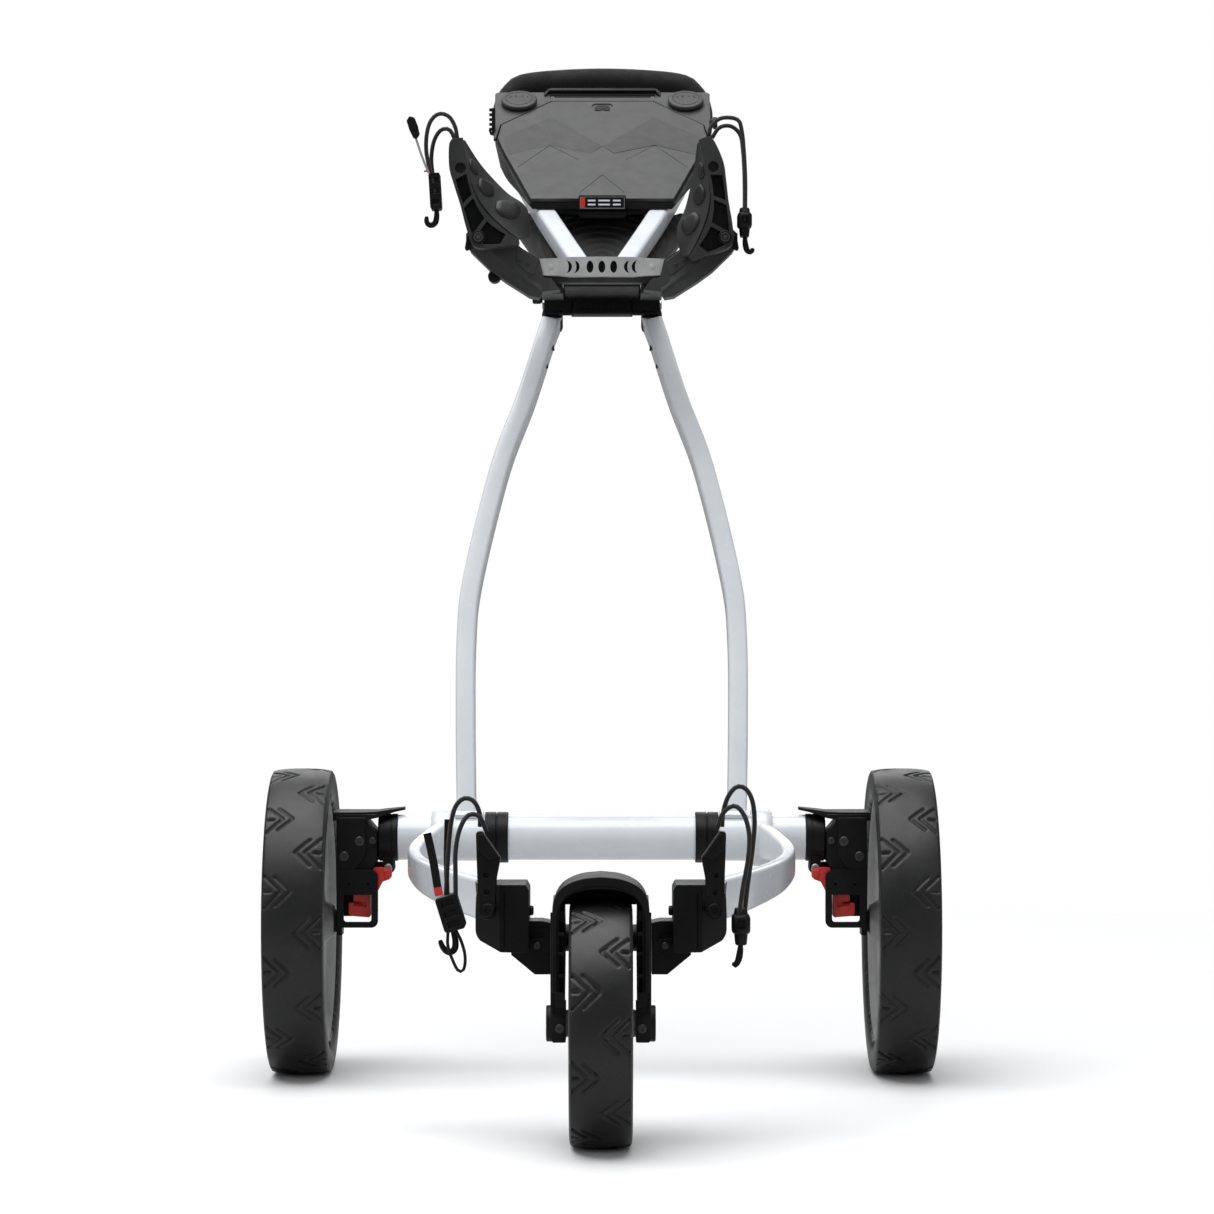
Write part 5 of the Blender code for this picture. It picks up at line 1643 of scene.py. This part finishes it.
def along_tube(sign, share, drop=0.0):
    """A place on a handle tube, share of the way up it and drop metres under it."""
    place = TUBE_START.lerp(TUBE_END, share)
    x = float(np.interp(share, (0.0, 0.5, 1.0), (0.0165, 0.063, 0.1012)))
    if share > 1.0:
        x += 0.0726 * (share - 1.0)
    return (sign * x, place.y + drop * UNDER_Y, place.z - drop * UNDER_Z)


def handle():
    section = rounded_section(0.02, 0.0215, 0.004, 6)
    wedge = [(y + 0.0003, z - 0.0001) for y, z in NECK[2:4]] + [(0.16, 0.796), (0.16, 0.736)]
    for side_name, sign in SIDES:
        path = [along_tube(sign, share) for share in (0.0, 0.5, 1.0)]
        low, high = sorted((sign * 0.0003, -sign * 0.05))
        piece(
            "push_tube_" + side_name, shape_sweep(smooth_path(path, 0.012), section, (1, 0, 0)),
            "handle", "white_paint", "handle_tube_" + side_name,
            cuts=[shape_block((low, 0.15, 0.7), (high, 0.3, 0.9)), shape_prism(wedge, "X", -0.06, 0.06)],
            bevel=0.0006, limit=40
        )
        end = [rounded_section(0.0245 + 0.0004 * k, 0.025, 0.008, 5) for k in range(5)]
        stub = smooth_path([along_tube(sign, s) for s in (0.955, 1.012)], 0.005)
        end += [end[-1]] * (len(stub) - len(end))
        piece(
            "push_tube_socket_" + side_name, shape_sweep(stub, end[: len(stub)], (1, 0, 0)), "handle",
            bevel=0.001
        )
    knots = mirrored(GRIP) + GRIP[-2::-1]
    path = smooth_path(knots, 0.006)
    run, radii = 0.0, []
    whole = path_length(path)
    for k, point in enumerate(path):
        run += (point - path[k - 1]).length if k else 0.0
        near_end = min(run, whole - run)
        step = math.sqrt(max(0.0, 1 - (1 - min(near_end / 0.006, 1.0)) ** 2))
        radii.append(0.0105 + 0.004 * step)
    rings = [round_section(radius, 36) for radius in radii]
    made = piece(
        "grip_sleeve", shape_sweep(path, rings, (0, 1, 0)), "handle", "grip_foam", "handle_grip",
        limit=60
    )


handle()


# Console, in coordinates of its sloping face: across, up the slope, out of the face
SLOPE_COS, SLOPE_SIN = 0.8211, 0.5707
OUT = (0.0, -SLOPE_SIN, SLOPE_COS)


def on_console(across, up, out):
    return (across, 0.37 + SLOPE_COS * up - SLOPE_SIN * out, 0.869 + SLOPE_SIN * up + SLOPE_COS * out)


def both(half):
    return half + mirrored(half[::-1])


def on_slope(outline, low, high):
    """Prism on the console face; low and high are numbers, or one height for each corner."""
    count = len(outline)
    lows = low if isinstance(low, list) else [low] * count
    highs = high if isinstance(high, list) else [high] * count
    points = [on_console(a, u, h) for (a, u), h in zip(outline, lows)]
    points += [on_console(a, u, h) for (a, u), h in zip(outline, highs)]
    return points, tube_faces(2, count)


def curved(knots, step=0.008):
    return [(p.x, p.y) for p in smooth_path([(a, u, 0.0) for a, u in knots], step)]


def console():
    side = curved([(0.0775, 0.0), (0.0935, 0.055), (0.108, 0.105), (0.1165, 0.15)])
    base_half = side + [(0.117, 0.2), (0.117, 0.241)]
    rim = both(base_half)
    rings = []
    for shrink, sink in ((0.94, 1.0), (0.962, 0.66), (0.985, 0.33), (1.0, 0.0)):
        ring = []
        for a, u in rim:
            x, y, z = on_console(a, u, -0.0043)
            floor = 0.863 + 0.4628 * (y - 0.38)
            ring.append((x * shrink, y, z + (floor - z) * sink))
        rings.append(ring)
    cradle = shape_block((-0.0248, 0.36, 0.8555), (0.0248, 0.3725, 0.8672))
    piece(
        "console_tub", ([p for ring in rings for p in ring], tube_faces(len(rings), len(rim))),
        "handle",
        replaces="console_base", cuts=[cradle], bevel=0.0016, bevel_steps=3, limit=30
    )
    lid_side = curved([(0.0745, 0.003), (0.09, 0.056), (0.104, 0.104), (0.1118, 0.136)])
    lid_half = lid_side + [(0.1085, 0.165), (0.0545, 0.219)]
    emblem = [
        (0.0, 0.1985), (0.0045, 0.196), (0.0085, 0.1975), (0.0112, 0.201), (0.0112, 0.2105),
        (0.0085, 0.214)
    ]
    emblem = emblem + mirrored(emblem[1:][::-1])
    creases = []
    for start, end in CREASES:
        creases.append(crease(start, end))
        if start[0] > 0 or end[0] > 0:
            creases.append(crease((-start[0], start[1]), (-end[0], end[1])))
    piece(
        "console_lid_panel", on_slope(both(lid_half), -0.004, 0.0), "console_lid", "console_grey",
        "console_lid",
        cuts=[on_slope(emblem, -0.0012, 0.004)] + creases, bevel=0.0007, bevel_steps=2, limit=50
    )
    inner = [(0.0, 0.201), (0.0048, 0.1985), (0.008, 0.2005), (0.008, 0.208), (0.003, 0.2108)]
    piece(
        "lid_emblem", on_slope(inner + mirrored(inner[1:][::-1]), -0.0014, -0.0003), "console_lid",
        bevel=0.0003
    )
    # The facets are the console plastic painted darker: painted shade on faces that tilt away from the
    # light.
    for index, (outline, heights) in enumerate(FACETS):
        for side_name, sign in SIDES:
            piece(
                f"lid_facet_{index + 1}_{side_name}", on_slope(sided(outline, sign), -0.001, heights),
                "console_lid", "console_grey",
                paint=SHADED_FACET_GREY
            )
    shoulder = [
        (0.0553, 0.221), (0.1095, 0.1665), (0.114, 0.136), (0.1165, 0.1345), (0.117, 0.238),
        (0.114, 0.241)
    ]
    piece(
        "console_head", on_slope(both(shoulder), -0.004, -0.0003), "handle", "console_grey",
        "console_shoulder",
        cuts=[on_slope(both([(0.057, 0.2285), (0.057, 0.2365)]), -0.0034, 0.01)], bevel=0.0008,
        bevel_steps=2, limit=40
    )
    lip = [(0.064, 0.2372), (0.06, 0.2408), (0.056, 0.2415), (0.0, 0.2415)]
    lip_low = [(0.0, 0.2368), (0.058, 0.2368), (0.06, 0.233), (0.063, 0.23)]
    piece(
        "pen_slot_lip",
        on_slope(
            both(lip_low[1:] + lip[:-1]), -0.001,
            both_heights([0.0042, 0.0034, 0.0008, 0.0008, 0.004, 0.005])
        ), "handle",
        bevel=0.0006
    )
    for side_name, sign in SIDES:
        screw(
            "pen_slot_screw_" + side_name, on_console(sign * 0.0545, 0.2325, -0.0034), OUT, 0.0022,
            "handle",
            slot="rim_grey", height=0.0014
        )
        centre = on_console(sign * 0.0905, 0.214, 0.00015)
        # Black neck under each cap, narrower than the cap: painted shade for the gap beneath the cap's
        # rim.
        piece(
            "accessory_shade_neck_" + side_name,
            shape_lathe([(0.0, 0.0), (0.0, 0.0176), (0.0012, 0.0176), (0.0012, 0.0)], centre, OUT, 56),
            "handle",
            limit=35
        )
        profile = [
            (0.0012, 0.0), (0.0012, 0.0186), (0.0018, 0.0195), (0.0046, 0.0195), (0.0057, 0.0186),
            (0.006, 0.0176), (0.006, 0.015), (0.0056, 0.0146), (0.0056, 0.0138), (0.006, 0.0134),
            (0.006, 0.0)
        ]
        piece(
            "accessory_cap_" + side_name, shape_lathe(profile, centre, OUT, 64), "handle",
            "console_grey", "accessory_disc_" + side_name,
            cuts=[cap_notch(centre, turn, 0.0118) for turn in (-0.9, -0.3, 0.3, 0.9)], limit=30,
            paint=DISC_GREY
        )
    teeth = []
    for k in range(5):
        z = 0.956 + 0.0052 * k
        teeth.append(shape_block((-0.1216, 0.493, z), (-0.118, 0.499, z + 0.0028)))
    piece(
        "side_clip", joined(shape_block((-0.1188, 0.4915, 0.9535), (-0.115, 0.5005, 0.98)), *teeth),
        "handle",
        bevel=0.0006
    )
    hook = [
        (-0.115, 0.95), (-0.1205, 0.9515), (-0.1222, 0.956), (-0.1212, 0.958), (-0.119, 0.9545),
        (-0.115, 0.9535)
    ]
    piece("side_clip_hook", shape_prism(hook, "Y", 0.492, 0.499), "handle", bevel=0.0006)
    knob = [
        (0.115, 0.0), (0.115, 0.0045), (0.119, 0.0045), (0.119, 0.0066), (0.1225, 0.0066),
        (0.1236, 0.0056), (0.1236, 0.0)
    ]
    piece("side_knob", shape_lathe(knob, (0.0, 0.496, 0.964), (1, 0, 0), 28), "handle", limit=35)


def both_heights(half):
    return half + half[::-1]


def crease(start, end):
    """Thin groove along a line on the lid."""
    a, b = Vector(start), Vector(end)
    across = Vector((-(b - a).y, (b - a).x)).normalized() * 0.0003
    outline = [a - across, b - across, b + across, a + across]
    return on_slope([(p.x, p.y) for p in outline], -0.0007, 0.005)


def cap_notch(centre, turn, reach):
    """Small shallow pit in the top of an accessory cap."""
    across = Vector((1.0, 0.0, 0.0))
    up = Vector((0.0, SLOPE_COS, SLOPE_SIN))
    spot = Vector(centre) + across * (reach * math.sin(turn)) + up * (reach * math.cos(turn) * 0.5)
    return shape_cylinder(spot, OUT, 0.0052, 0.008, 0.0011, 12)


CREASES = [
    ((0.0, 0.054), (0.023, 0.016)), ((0.056, 0.119), (0.09, 0.07)), ((0.056, 0.119), (0.025, 0.087))
]
FACETS = [
    (
        [(0.0, 0.117), (0.055, 0.182), (0.0558, 0.1192), (0.0125, 0.101)],
        [0.0001, 0.0001, 0.0004, 0.0004]
    ),
    ([(0.0552, 0.182), (0.106, 0.137), (0.1, 0.098), (0.056, 0.1192)], [0.0001, 0.0001, 0.0002, 0.0004])
]
# Darker copy of the console plastic for the lid facets: painted shade.
SHADED_FACET_GREY = console_plastic("lid_facet_painted_shade", grey(0.017), grey(0.046))
DISC_GREY = console_plastic("disc_grey", grey(0.02), grey(0.042))
console()


def badge():
    y = 0.3595
    piece(
        "badge_frame",
        shape_prism(
            [
                (-0.0248, 0.8575), (0.0248, 0.8575), (0.0248, 0.871), (0.0236, 0.8728),
                (-0.0236, 0.8728), (-0.0248, 0.871)
            ], "Y", y, y + 0.01
        ), "handle",
        replaces="console_badge",
        cuts=[shape_block((-0.0234, y - 0.001, 0.8588), (0.0234, y + 0.001, 0.8716))], bevel=0.0006
    )
    inset = [(-0.0232, 0.8591), (0.0232, 0.8591), (0.0232, 0.8713), (-0.0232, 0.8713)]
    inner = [(-0.0227, 0.8596), (0.0227, 0.8596), (0.0227, 0.8708), (-0.0227, 0.8708)]
    piece(
        "badge_trim", shape_prism(inset, "Y", y + 0.0003, y + 0.0014), "handle", "rim_grey",
        cuts=[shape_prism(inner, "Y", y - 0.001, y + 0.003)]
    )
    piece("badge_face", shape_prism(inner, "Y", y + 0.0006, y + 0.0014), "handle")
    red = [(-0.0225, 0.8599), (-0.0178, 0.8599), (-0.0178, 0.8705), (-0.0225, 0.8705)]
    piece("badge_red", shape_prism(red, "Y", y + 0.0003, y + 0.001), "handle", "lever_red")
    bars = []
    for x, width in ((-0.011, 0.008), (0.002, 0.012), (0.0152, 0.008)):
        for level in (0.8622, 0.8664):
            bars.append(
                shape_block(
                    (x - width / 2, y + 0.0003, level), (x + width / 2, y + 0.001, level + 0.0018)
                )
            )
    piece("badge_lines", joined(*bars), "handle", "white_paint")
    holder = [
        (-0.0248, 0.86), (-0.0248, 0.852), (-0.0225, 0.849), (0.0225, 0.849), (0.0248, 0.852),
        (0.0248, 0.86)
    ]
    piece(
        "badge_holder", shape_prism(holder, "Y", 0.363, 0.398), "handle",
        cuts=[shape_block((-0.03, 0.35, 0.8572), (0.03, 0.3724, 0.87))], bevel=0.001
    )


badge()
for side_name, sign in SIDES:
    chin = [(0.024, 0.853), (0.044, 0.8545), (0.056, 0.865), (0.056, 0.869), (0.024, 0.869)]
    piece(
        "console_chin_" + side_name, shape_panel(chin, sign, 0.376, 0.398), "handle",
        bevel=0.0014, bevel_steps=3
    )


# Net pouch: a ribbed sheet hung below the two tubes, sagging a little in the middle
POUCH_SPAN = (0.06, 0.585)
POUCH_UNDER = 0.0145


def pouch_half(share):
    """Half the net's width at a share of the way up the tubes."""
    return min(0.0448 + 0.103 * share, 0.092)


def net_pouch():
    rows, columns = 90, 72
    low, high = POUCH_SPAN
    points, faces = [], []
    for r in range(rows + 1):
        share = low + (high - low) * r / rows
        for c in range(columns + 1):
            across = 2 * c / columns - 1
            x, y, z = along_tube(1, share, POUCH_UNDER)
            sag = 0.005 * (1 - across * across) * math.sin(math.pi * r / rows)
            swirl = math.hypot(across, 1.4 * r / rows - 0.55)
            rib = 0.0009 * math.cos(2 * math.pi * (swirl * 9.0 + 0.35 * across))
            half = pouch_half(share)
            points.append((half * across, y + UNDER_Y * (sag + rib), z - UNDER_Z * (sag + rib)))
    for r in range(rows):
        for c in range(columns):
            a = r * (columns + 1) + c
            faces.append((a, a + 1, a + columns + 2, a + columns + 1))
    made = piece("pouch_sheet", (points, faces), "handle", "pouch_net", "net_pouch", limit=60)
    thick = made.modifiers.new("thick", "SOLIDIFY")
    thick.thickness = 0.0008
    thick.offset = 0.0
    applied(made)
    for side_name, sign in SIDES:
        edge = [along_tube(sign, s, POUCH_UNDER) for s in np.linspace(*POUCH_SPAN, 16)]
        edge = [(sign * pouch_half((y - 0.2261) / 0.36), y, z) for x, y, z in edge]
        hem = piece(
            "pouch_hem_" + side_name, shape_sweep(edge, round_section(0.0013, 10), (1, 0, 0)), "handle",
            "pouch_net",
            paint=PAINTS["elastic_cord"]
        )


net_pouch()


# Cord fittings: a slider, an open hook and, on the left, ribbon tags
def ribbon(name, line, width, thick, body, slot, facing=(1, 0, 0), paint=None):
    """Flat strap along a line."""
    w, t = width / 2, thick / 2
    section = [(-w, -t), (w, -t), (w, t), (-w, t)]
    return piece(name, shape_sweep(smooth_path(line, 0.003), section, facing), body, slot, paint=paint)


def rounded_slider(short, low, high, body):
    """Barrel slider with a collar at each end and a slot through it."""
    x, y = (low[0] + high[0]) / 2, (low[1] + high[1]) / 2
    half_x, half_y = (high[0] - low[0]) / 2, (high[1] - low[1]) / 2
    bottom, top = low[2], high[2]
    span = top - bottom
    path, sections = [], []
    for share, size in (
        (0.0, 0.5), (0.03, 0.62), (0.3, 0.72), (0.34, 0.92), (0.4, 1.0), (0.74, 1.0), (0.8, 0.9),
        (0.84, 0.74), (0.97, 0.66), (1.0, 0.56)
    ):
        path.append((x, y, bottom + span * share))
        width, depth = 2 * half_x * size, 2 * half_y * size
        sections.append(rounded_section(width, depth, min(width, depth) * 0.42, 5))
    window = shape_block(
        (x - half_x * 0.42, y - half_y * 1.2, bottom + span * 0.46),
        (x + half_x * 0.42, y - half_y * 0.72, bottom + span * 0.7)
    )
    return piece(
        short + "_barrel", shape_sweep(path, sections, (1, 0, 0)), body,
        replaces=short + "_slider", cuts=[window], bevel=0.0005, limit=40
    )


def block_slider(short, low, high, body, lean):
    """Flat slider with three square windows."""
    x, z = (low[0] + high[0]) / 2, (low[2] + high[2]) / 2
    half, tall = (high[0] - low[0]) / 2, (high[2] - low[2]) / 2
    plain = [
        (-half * 0.8, -tall), (half * 0.8, -tall), (half, -tall * 0.86), (half, tall * 0.9),
        (half * 0.85, tall), (-half * 0.85, tall), (-half, tall * 0.9), (-half, -tall * 0.86)
    ]

    def put(a, b):
        c, s = math.cos(lean), math.sin(lean)
        return (x + a * c - b * s, z + a * s + b * c)

    windows = []
    for level in (-0.6, 0.0, 0.6):
        b = level * tall
        w = half * 0.55
        corners = [(-w, b - 0.0024), (w, b - 0.0024), (w, b + 0.0024), (-w, b + 0.0024)]
        windows.append(shape_prism([put(*c) for c in corners], "Y", low[1] - 0.01, low[1] + 0.0025))
    return piece(
        short + "_block", shape_prism([put(*c) for c in plain], "Y", low[1], high[1]), body,
        replaces=short + "_slider", cuts=windows, bevel=0.0007
    )


def open_hook(short, line, body):
    """Moulded hook, thicker at its bend and blunt at the tip."""
    path = smooth_path(line, 0.0016)
    last = len(path) - 1
    sections = []
    for k in range(len(path)):
        grow = 0.75 + 0.35 * math.sin(math.pi * k / last)
        if k == last:
            grow = 0.55
        sections.append(rounded_section(0.0038 * grow, 0.0052 * grow, 0.0017 * grow, 4))
    return piece(
        short + "_open_hook", shape_sweep(path, sections, (0, 1, 0)), body,
        replaces=short + "_hook", limit=45
    )


def fittings():
    short, body = "upper_bag_left", "upper_bag_arm_left"
    low, high = (-0.1652, 0.0165, 0.825), (-0.1542, 0.0395, 0.86)
    made = [block_slider(short, low, high, body, 0.06)]
    made.append(
        open_hook(
            short,
            [
                (-0.159, 0.028, 0.828), (-0.1585, 0.028, 0.82), (-0.16, 0.028, 0.813),
                (-0.1645, 0.028, 0.8105), (-0.168, 0.028, 0.8135), (-0.1682, 0.028, 0.819)
            ], body
        )
    )
    made.append(
        ribbon(
            short + "_strap", [(-0.1655, 0.012, 0.859), (-0.172, 0.011, 0.875), (-0.179, 0.012, 0.896)],
            0.0022, 0.001, body, "rim_grey"
        )
    )
    paddle = [
        (-0.1765, 0.892), (-0.174, 0.896), (-0.1758, 0.904), (-0.179, 0.912), (-0.184, 0.9135),
        (-0.1868, 0.909), (-0.184, 0.9), (-0.18, 0.892)
    ]
    made.append(
        piece(
            short + "_pull_tag", shape_prism(paddle, "Y", 0.01, 0.0142), body,
            bevel=0.0011, bevel_steps=3
        )
    )
    made.append(
        piece(
            short + "_red_mark", shape_block((-0.17, 0.011, 0.86), (-0.1672, 0.0136, 0.8616)), body,
            "lever_red",
            bevel=0.0003
        )
    )

    short, body = "upper_bag_right", "upper_bag_arm_right"
    low, high = (0.13, 0.015, 0.799), (0.144, 0.041, 0.827)
    made = [rounded_slider(short, low, high, body)]
    made.append(
        open_hook(
            short,
            [
                (0.1374, 0.028, 0.8), (0.1378, 0.028, 0.793), (0.1395, 0.028, 0.7865),
                (0.1432, 0.028, 0.785), (0.1455, 0.028, 0.7885)
            ], body
        )
    )

    short, body = "lower_bag_left", "lower_bag_arm_left"
    low, high = (-0.1345, -0.499, 0.174), (-0.116, -0.4727, 0.204)
    made = [block_slider(short, low, high, body, 0.3)]
    made.append(
        open_hook(
            short,
            [
                (-0.124, -0.486, 0.175), (-0.1215, -0.486, 0.165), (-0.1225, -0.486, 0.158),
                (-0.1275, -0.486, 0.156), (-0.132, -0.486, 0.16), (-0.1345, -0.486, 0.166)
            ], body
        )
    )
    made.append(
        ribbon(
            short + "_ribbon",
            [
                (-0.1445, -0.5, 0.256), (-0.1415, -0.501, 0.243), (-0.1385, -0.5012, 0.228),
                (-0.1358, -0.501, 0.211)
            ], 0.0068, 0.0009, body, "black_plastic"
        )
    )
    made.append(
        ribbon(
            short + "_ribbon_end", [(-0.1358, -0.5011, 0.2112), (-0.1345, -0.5005, 0.204)], 0.007,
            0.0013, body, "lever_red"
        )
    )
    made.append(
        ribbon(
            short + "_strap",
            [(-0.129, -0.47, 0.203), (-0.1298, -0.47, 0.233), (-0.1292, -0.47, 0.266)], 0.0042, 0.0011,
            body, "black_plastic"
        )
    )
    tail = [
        (-0.1215, -0.493, 0.176), (-0.1165, -0.4945, 0.166), (-0.1132, -0.495, 0.154),
        (-0.114, -0.495, 0.143), (-0.1185, -0.495, 0.141), (-0.1235, -0.495, 0.15),
        (-0.1275, -0.494, 0.162), (-0.1275, -0.493, 0.173)
    ]
    made.append(
        piece(
            short + "_tail",
            shape_sweep(smooth_path(tail, 0.003), round_section(0.0014, 10), (0, 1, 0)), body,
            "elastic_cord"
        )
    )

    short, body = "lower_bag_right", "lower_bag_arm_right"
    low, high = (0.109, -0.499, 0.162), (0.1245, -0.4727, 0.193)
    made = [rounded_slider(short, low, high, body)]
    made.append(
        open_hook(
            short,
            [
                (0.1165, -0.486, 0.163), (0.116, -0.486, 0.156), (0.1145, -0.486, 0.149),
                (0.112, -0.486, 0.145), (0.1105, -0.486, 0.1475)
            ], body
        )
    )


fittings()






# CAD nodes that stay: smooth shading and the finish of their slot
def keep_cad(node, slot):
    made = NODES[node]
    made.data.materials.clear()
    made.data.materials.append(PAINTS[slot])
    weld = made.modifiers.new("weld", "WELD")
    weld.merge_threshold = 0.00002
    shade = made.modifiers.new("smooth", "NODES")
    shade.node_group = smooth_group()


SMOOTH_BELOW = 34


def smooth_group():
    """Geometry nodes that shade a mesh smooth, except across its sharp edges."""
    name = "smooth_by_angle"
    if name in bpy.data.node_groups:
        return bpy.data.node_groups[name]
    group = bpy.data.node_groups.new(name, "GeometryNodeTree")
    group.interface.new_socket("Geometry", in_out="INPUT", socket_type="NodeSocketGeometry")
    group.interface.new_socket("Geometry", in_out="OUTPUT", socket_type="NodeSocketGeometry")
    start = group.nodes.new("NodeGroupInput")
    end = group.nodes.new("NodeGroupOutput")
    faces = group.nodes.new("GeometryNodeSetShadeSmooth")
    edges = group.nodes.new("GeometryNodeSetShadeSmooth")
    edges.domain = "EDGE"
    angle = group.nodes.new("GeometryNodeInputMeshEdgeAngle")
    below = group.nodes.new("FunctionNodeCompare")
    below.operation = "LESS_THAN"
    below.inputs["B"].default_value = math.radians(SMOOTH_BELOW)
    group.links.new(angle.outputs["Unsigned Angle"], below.inputs["A"])
    group.links.new(start.outputs[0], faces.inputs["Geometry"])
    group.links.new(faces.outputs[0], edges.inputs["Geometry"])
    group.links.new(below.outputs["Result"], edges.inputs["Shade Smooth"])
    group.links.new(edges.outputs[0], end.inputs[0])
    return group


KEPT = {
    "fork_pivot_pin": "steel", "front_axle_bolt": "steel", "upper_joint_pin": "steel",
    "handle_hinge_barrel": "black_plastic"
}
for node, slot in KEPT.items():
    keep_cad(node, slot)


# Studio
def area_light(name, location, target, size, power, colour=(1.0, 1.0, 1.0)):
    data = bpy.data.lights.new(name, "AREA")
    data.shape = "RECTANGLE"
    data.size, data.size_y = size
    data.energy = power
    data.color = colour
    made = bpy.data.objects.new(name, data)
    made.location = location
    made.rotation_euler = (Vector(target) - Vector(location)).to_track_quat("-Z", "Y").to_euler()
    bpy.context.scene.collection.objects.link(made)


def studio():
    """White floor that fades out some way off, a white surround, and broad soft lights."""
    size = 4.0
    points = [(-size, -size, 0.0), (size, -size, 0.0), (size, size, 0.0), (-size, size, 0.0)]
    floor = raw_object("studio_floor", (points, [(0, 1, 2, 3)]))
    paint, tree, shader = principled("studio_floor", {"Roughness": 0.62, "Specular IOR Level": 0.18})
    path = tree.nodes.new("ShaderNodeLightPath")
    shades = ramp(tree, noise(tree, 0.7), [(0.3, grey(0.9, 0.004)), (0.7, grey(0.92, 0.004))])
    bounce = tree.nodes.new("ShaderNodeMix")
    bounce.data_type = "RGBA"
    bounce.inputs["A"].default_value = grey(FLOOR_BOUNCE)
    tree.links.new(path.outputs["Is Camera Ray"], bounce.inputs["Factor"])
    tree.links.new(shades, bounce.inputs["B"])
    tree.links.new(bounce.outputs["Result"], shader.inputs["Base Color"])
    coordinate = tree.nodes.new("ShaderNodeTexCoord")
    far = tree.nodes.new("ShaderNodeVectorMath")
    far.operation = "LENGTH"
    tree.links.new(coordinate.outputs["Object"], far.inputs[0])
    solid = spread(tree, far.outputs["Value"], 1.0, 0.0, *FLOOR_FADE)
    tree.links.new(solid, shader.inputs["Alpha"])
    floor.data.materials.append(paint)

    world = bpy.data.worlds.new("studio")
    world.use_nodes = True
    sky = world.node_tree
    for node in list(sky.nodes):
        sky.nodes.remove(node)
    output = sky.nodes.new("ShaderNodeOutputWorld")
    seen = sky.nodes.new("ShaderNodeBackground")
    seen.inputs["Color"].default_value = (1.0, 1.0, 1.0, 1.0)
    lit = sky.nodes.new("ShaderNodeBackground")
    lit.inputs["Strength"].default_value = SURROUND_STRENGTH
    lit.inputs["Color"].default_value = (0.95, 0.975, 1.0, 1.0)
    ray = sky.nodes.new("ShaderNodeLightPath")
    mix = sky.nodes.new("ShaderNodeMixShader")
    sky.links.new(ray.outputs["Is Camera Ray"], mix.inputs["Fac"])
    sky.links.new(lit.outputs[0], mix.inputs[1])
    sky.links.new(seen.outputs[0], mix.inputs[2])
    sky.links.new(mix.outputs[0], output.inputs["Surface"])
    bpy.context.scene.world = world

    y = AXLE_Y
    aim = (0.0, y, 0.5)
    area_light("key", (-0.6, y - 0.4, 4.2), (0.0, y, 0.3), (4.5, 4.5), KEY_POWER)
    area_light("front_left", (-3.4, y - 3.2, 1.9), aim, (1.4, 2.4), 20.0)
    area_light("front_right", (3.4, y - 3.2, 1.9), aim, (1.4, 2.4), 15.0)
    area_light("back", (0.0, y + 3.6, 2.2), aim, (3.0, 2.0), 30.0)


SURROUND_STRENGTH = 0.27
KEY_POWER = 225.0
FLOOR_BOUNCE = 0.6
FLOOR_FADE = (1.25, 2.3)
studio()
bpy.context.scene.view_settings.view_transform = "Standard"

bpy.context.view_layer.update()
